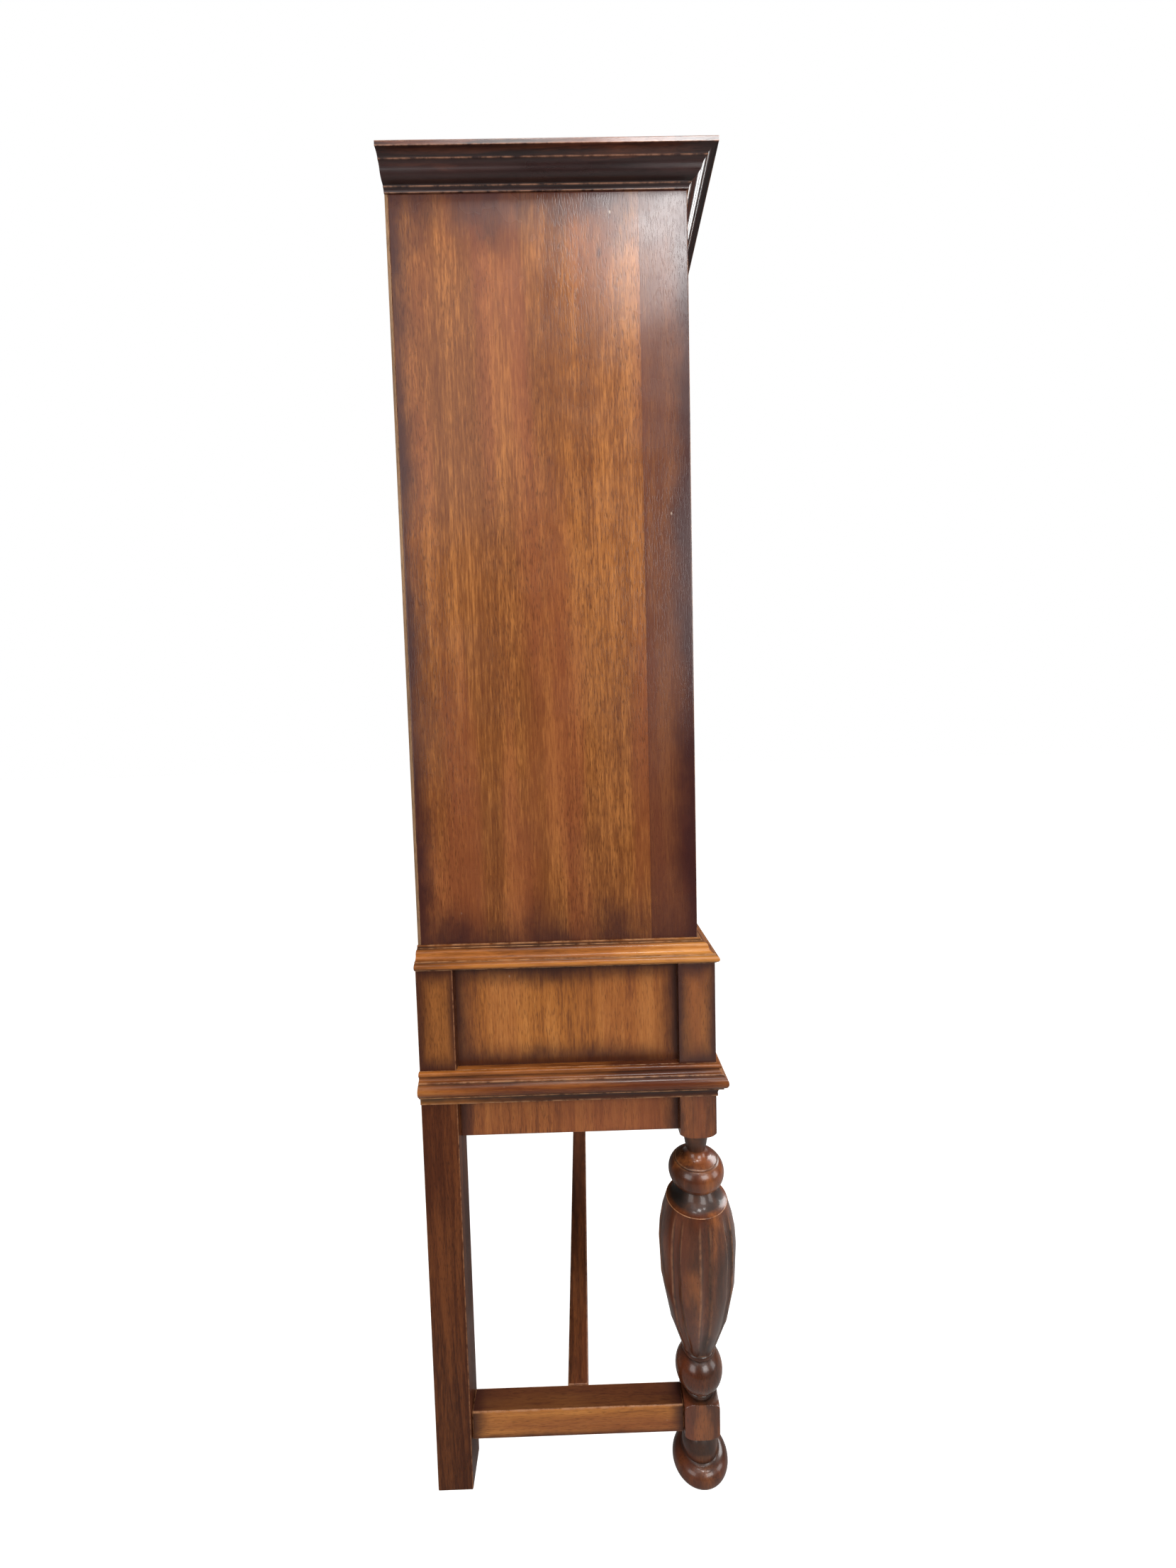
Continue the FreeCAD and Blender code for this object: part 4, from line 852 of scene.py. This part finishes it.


# One turning. Its blocks' flat faces stay clean, the hollow over the collar and the whole foot are painted
# dark as dirt and shade, the collar's lip is polished and painted pale as a highlight, and each flute has a
# floor darkened as dirt and shade, painted shade lines at its shoulders, and rubbed edges painted pale as
# highlights.
def frontLeg(word, side):
    points, wear, grime = recessed(legProfile(), *legUse["dirt"])
    height = points[:, 1]
    (blockLow, blockHigh), postFrom = turning["block"], turning["postFrom"]
    grime[(height < 0.5) | (height > postFrom + 4)] = 0
    flat = ((height > blockLow + 0.5) & (height < blockHigh - 0.5)) | (height > postFrom + 0.5)
    grime[flat] *= legUse["flatShare"]
    grime[(height > legUse["collar"][0]) & (height < legUse["collar"][1])] = legUse["collarDirt"]
    foot = (height > legUse["foot"][0]) & (height < legUse["foot"][1])
    grime[foot] = np.minimum(grime[foot] + legUse["footDirt"], 1)
    under, lipLow, lipHigh = legUse["lip"]
    polished = (points[:, 0] > legUse["lipRadius"]) & (height > lipLow)
    wear = np.where((height > under) & (height < lipHigh), polished * legUse["lipRub"], wear)
    centre = (side * (xLeg - legSide / 2), yFront + legSide / 2, 0)
    vertices, quads, caps, wear, grime = lathe((points, wear, grime), turning["around"], legRadius, centre)
    dx, dy = vertices[:, 0] - centre[0], vertices[:, 1] - centre[1]
    distance = fromFlute(np.hypot(dx, dy), np.arctan2(dy, dx))
    onBulb = (vertices[:, 2] > legUse["bulb"][0]) & (vertices[:, 2] < legUse["bulb"][1])
    floor = np.clip(1 - distance / legUse["floorHalf"], 0, 1) * legUse["floorDirt"]
    shoulder = fluteLine(distance, turning["fluteHalf"] - legUse["shoulderIn"])
    edge = fluteLine(distance, turning["fluteHalf"] + legUse["edgeOut"]) * legUse["edgeRub"]
    grime = np.where(onBulb, np.maximum.reduce([grime, floor, shoulder]), grime)
    wear = np.where(onBulb, np.maximum(wear, edge), wear)
    makePiece("front_leg_%s_turning" % word, (vertices, quads, caps, wear, grime), "carcass",
              ["front_leg_" + word], turnedWood, smoothAngle=38)


for word, side in (("left", -1), ("right", 1)):
    frontLeg(word, side)
print("turned legs made")

# boards that keep the CAD's places: material, slot and edge radius
boards = {
    "case_side_left": (caseWood["left"], "case_wood", 1.0),
    "case_side_right": (caseWood["right"], "case_wood", 1.0),
    "back_leg_left": (backLegWood, "stand_wood", 1.6), "back_leg_right": (backLegWood, "stand_wood", 1.6),
    "stage_panel_left": (panelWood, "stand_wood", 0.6), "stage_panel_right": (panelWood, "stand_wood", 0.6),
    "drawer_top_rail": (railWood, "stand_wood", 1.0), "case_top_rail": (railWood, "stand_wood", 0.8),
    "short_drawer_divider": (railWood, "stand_wood", 0.8), "case_floor": (railWood, "inner_wood", 0.8),
    "case_top_board": (innerWood, "inner_wood", 1.0), "case_back_board": (innerWood, "inner_wood", 0.6),
    "stage_back_panel": (innerWood, "inner_wood", 0.8),
}
for node, (material, slot, soft) in boards.items():
    low, high = nodeBox(node)
    makePiece(node + "_planed", board(low, high, soft), "carcass", [node], material)

tenon = {"length": 18, "centreLength": 19.8, "shoulder": 6, "thick": 12, "gap": 0.3, "soft": 0.3}


# A rail between shoulders; its tenons are short blocks inside the posts.
def rail(node, along, length, soft, material):
    low, high = nodeBox(node)
    other = 1 - along
    middle = (low[other] + high[other]) / 2
    barLow, barHigh = low.copy(), high.copy()
    barLow[along] += length
    barHigh[along] -= length
    parts = [board(barLow, barHigh, soft)]
    for end in (0, 1):
        tenonLow, tenonHigh = low.copy(), high.copy()
        tenonLow[2] += tenon["shoulder"]
        tenonHigh[2] -= tenon["shoulder"]
        tenonLow[other], tenonHigh[other] = middle - tenon["thick"] / 2, middle + tenon["thick"] / 2
        if end == 0:
            tenonHigh[along] = low[along] + length - tenon["gap"]
        else:
            tenonLow[along] = high[along] - length + tenon["gap"]
        parts.append(board(tenonLow, tenonHigh, tenon["soft"]))
    makePiece(node + "_planed", joined(parts), "carcass", [node], material)


for word in ("left", "right"):
    rail("side_apron_" + word, 1, tenon["length"], 1.0, apronWood["y"])
    rail("side_stretcher_" + word, 1, tenon["length"], 2.2, stretcherWood["y"])
for word, slot in (("front", "stand_wood"), ("back", "inner_wood")):
    rail(word + "_apron", 0, tenon["length"], 1.0, apronWood["x"])
rail("centre_stretcher", 0, tenon["centreLength"], 2.2, stretcherWood["x"])
print("boards and rails made")

# drawer fronts and knobs, in millimetres
drawerLook = {"scratchBead": 9.0, "beadHalf": 2.2, "beadDepth": 1.3, "soft": 1.0, "thick": 20.0}
drawerStain = {"grain": "x", "toneReach": (0.06, 1.0, 0.045), "tone": 0.8, "bands": 40.0, "wave": 10.0}
knobLook = {"around": 48, "head": 19.0, "reach": 28.0, "foot": 13.0, "stem": 9.0, "tenon": 6.0}


# A small bead run round a drawer front: a shallow groove at a set distance from the nearest edge.
def scratchBead(low, high):
    def carve(points, wear, grime):
        edge = np.minimum.reduce([points[:, 0] - low[0], high[0] - points[:, 0],
                                  points[:, 2] - low[2], high[2] - points[:, 2]])
        onFace = points[:, 1] < low[1] + 0.2
        groove = np.exp(-((edge - drawerLook["scratchBead"]) / drawerLook["beadHalf"] * 1.6) ** 2) * onFace
        points = points + np.stack([0 * groove, groove * drawerLook["beadDepth"], 0 * groove], 1)
        # the groove is painted darker, as dirt and shade
        return points, wear, np.maximum(grime, groove)
    return carve


# Tenon, foot, waist and mushroom head, measured out from the drawer front's back.
def knobProfile():
    k, front = knobLook, drawerLook["thick"]
    return outline([
        (0.01, 0), (k["tenon"], 0), (k["tenon"], front), (k["foot"], front), (k["foot"], front + 3),
        (k["head"], front + k["reach"] - 10, k["stem"], front + 9),
        (k["head"] * 0.45, front + k["reach"] - 0.8, k["head"] * 0.93, front + k["reach"] - 4.5),
        (0.01, front + k["reach"])], closed=False)


# Turns an upright turning so that its axis runs towards the front.
def layDown(shape, place):
    v, q, c, w, g = shape
    return np.stack([v[:, 0] + place[0], place[1] - v[:, 2], v[:, 1] + place[2]], 1), q, c, w, g


drawers = [name for name in frame["bodies"] if name != "carcass"]
bead = drawerLook["scratchBead"]
lines = [bead + k * drawerLook["beadHalf"] / 2 for k in (-2, -1, 0, 1, 2)]
for number, drawer in enumerate(sorted(drawers)):
    low, high = nodeBox(drawer + "_front")
    look = woodMaterial("drawerFrontWood%d" % number, shift=(0.4 * number, 0.9 * number, 0.3),
                        toneBox=metres(low, high, wide=(1,)), **drawerStain)
    shape = board(low, high, drawerLook["soft"], lines, scratchBead(low, high))
    makePiece(drawer + "_front_planed", shape, drawer, [drawer + "_front"], look)
    kLow, kHigh = nodeBox(drawer + "_knobs")
    r, z = knobLook["head"], (kLow[2] + kHigh[2]) / 2
    twoKnobs = kHigh[0] - kLow[0] > 3 * r
    centres = (kLow[0] + r, kHigh[0] - r) if twoKnobs else ((kLow[0] + kHigh[0]) / 2,)
    turned = lathe(knobProfile(), knobLook["around"], lambda radius, height, angle: radius + 0 * angle,
                   (0, 0, 0))
    knobs = [layDown(turned, (x, kHigh[1], z)) for x in centres]
    makePiece(drawer + "_knobs_turned", joined(knobs), drawer, [drawer + "_knobs"], knobWood)
    for held in frame["nodes"][drawer + "_box"].material_slots:  # the box keeps its CAD mesh
        held.material = drawerBoxWood
for node in ("case_drawer_rails", "case_drawer_runners", "stage_runners", "drawer_stops"):
    for held in frame["nodes"][node].material_slots:
        held.material = railWood if node == "case_drawer_rails" else innerWood
print("drawers made")

# floor and light, in metres and watts
stage = {"floorSize": 60.0, "floorColour": (0.40, 0.395, 0.385), "floorGlow": 1.0, "skyForCamera": 1.0,
         "skyForObject": 0.11, "lampAim": (-0.2, 0, 0.95)}
lamps = [  # place, size, power
    ((-1.50, -0.33, 2.66), (0.35, 0.35), 11.0),  # shine high on the case side
    ((-1.60, 0.45, 2.20), (0.7, 0.8), 2.5),  # its back edge
    ((-1.55, -0.95, 2.46), (0.3, 0.25), 5.0),  # its front edge
    ((-0.95, 0.10, 2.46), (0.3, 0.25), 3.0),  # the cornice
    ((-2.6, -1.3, 1.9), (1.2, 1.2), 38.0),  # the side, from the front
    ((-1.10, -2.30, 1.10), (0.8, 1.2), 14.0),  # the turned legs
    ((-2.2, 1.5, 1.6), (1.2, 1.4), 20.0),  # the side, from behind
    ((1.2, -2.4, 2.2), (1.6, 1.2), 60.0),  # the drawers
]
# inFront is out from the left legs' faces and fromBack forward of the back ones; turns are in radians
cameraPlace = {"inFront": 794.1, "fromBack": 236.4, "height": 1082.2, "yaw": -0.0105, "pitch": 0.0651,
               "roll": 0.0253, "lens": 13.50814, "sensor": 36.0}


# A pale floor that looks white to the camera and still takes soft shade.
def makeStage():
    half = stage["floorSize"] / 2
    corners = [(-half, -half, 0), (half, -half, 0), (half, half, 0), (-half, half, 0)]
    mesh = bpy.data.meshes.new("floor")
    mesh.from_pydata(corners, [], [(0, 1, 2, 3)])
    floor = bpy.data.objects.new("floor", mesh)
    bpy.context.scene.collection.objects.link(floor)
    material = bpy.data.materials.new("paleFloor")
    material.use_nodes = True
    shader = material.node_tree.nodes["Principled BSDF"]
    shader.inputs["Base Color"].default_value = (*stage["floorColour"], 1)
    shader.inputs["Roughness"].default_value = 0.9
    shader.inputs["Specular IOR Level"].default_value = 0.1
    shader.inputs["Emission Color"].default_value = (1, 1, 1, 1)
    tree = material.node_tree
    seen = wire(tree, "ShaderNodeLightPath").outputs["Is Camera Ray"]
    tree.links.new(calc(tree, "MULTIPLY", seen, stage["floorGlow"]), shader.inputs["Emission Strength"])
    mesh.materials.append(material)


# A white sky for the camera, a dim one for the object, and lamps that all point at its middle.
def makeLight():
    world = bpy.data.worlds.new("studio")
    bpy.context.scene.world = world
    world.use_nodes = True
    tree = world.node_tree
    tree.nodes.clear()
    seen = wire(tree, "ShaderNodeLightPath").outputs["Is Camera Ray"]
    strength = wire(tree, "ShaderNodeMapRange", {"Value": seen, "To Min": stage["skyForObject"],
                                                 "To Max": stage["skyForCamera"]}).outputs["Result"]
    sky = wire(tree, "ShaderNodeBackground", {"Color": (1, 1, 1, 1), "Strength": strength})
    wire(tree, "ShaderNodeOutputWorld", {"Surface": sky.outputs[0]})
    aim = Vector(stage["lampAim"])
    for number, (place, size, power) in enumerate(lamps):
        data = bpy.data.lights.new("lamp%d" % number, "AREA")
        data.shape = "RECTANGLE"
        data.size, data.size_y = size
        data.energy = power
        lamp = bpy.data.objects.new("lamp%d" % number, data)
        lamp.location = place
        lamp.rotation_euler = (aim - Vector(place)).to_track_quat("-Z", "Y").to_euler()
        bpy.context.scene.collection.objects.link(lamp)


# Looks level along +X, then turns by yaw about Z, then by pitch, then by roll.
def makeCamera():
    c = cameraPlace
    forward, right, down = Vector((1, 0, 0)), Vector((0, -1, 0)), Vector((0, 0, -1))
    turn = Matrix.Rotation(c["yaw"], 3, "Z")
    forward, right = turn @ forward, turn @ right
    forward, down = (cos(c["pitch"]) * forward + sin(c["pitch"]) * down,
                     cos(c["pitch"]) * down - sin(c["pitch"]) * forward)
    right, down = (cos(c["roll"]) * right + sin(c["roll"]) * down,
                   cos(c["roll"]) * down - sin(c["roll"]) * right)
    data = bpy.data.cameras.new("view")
    data.sensor_width = c["sensor"]
    data.lens = c["lens"]
    data.clip_start = 0.01
    camera = bpy.data.objects.new("view", data)
    camera.location = Vector((-xLeg - c["inFront"], yBack - c["fromBack"], c["height"])) * mm
    camera.rotation_euler = Matrix((right, -down, -forward)).transposed().to_euler()
    bpy.context.scene.collection.objects.link(camera)
    bpy.context.scene.camera = camera


makeStage()
makeLight()
makeCamera()
bpy.context.scene.view_settings.view_transform = "Standard"
print("stage, light and camera made")
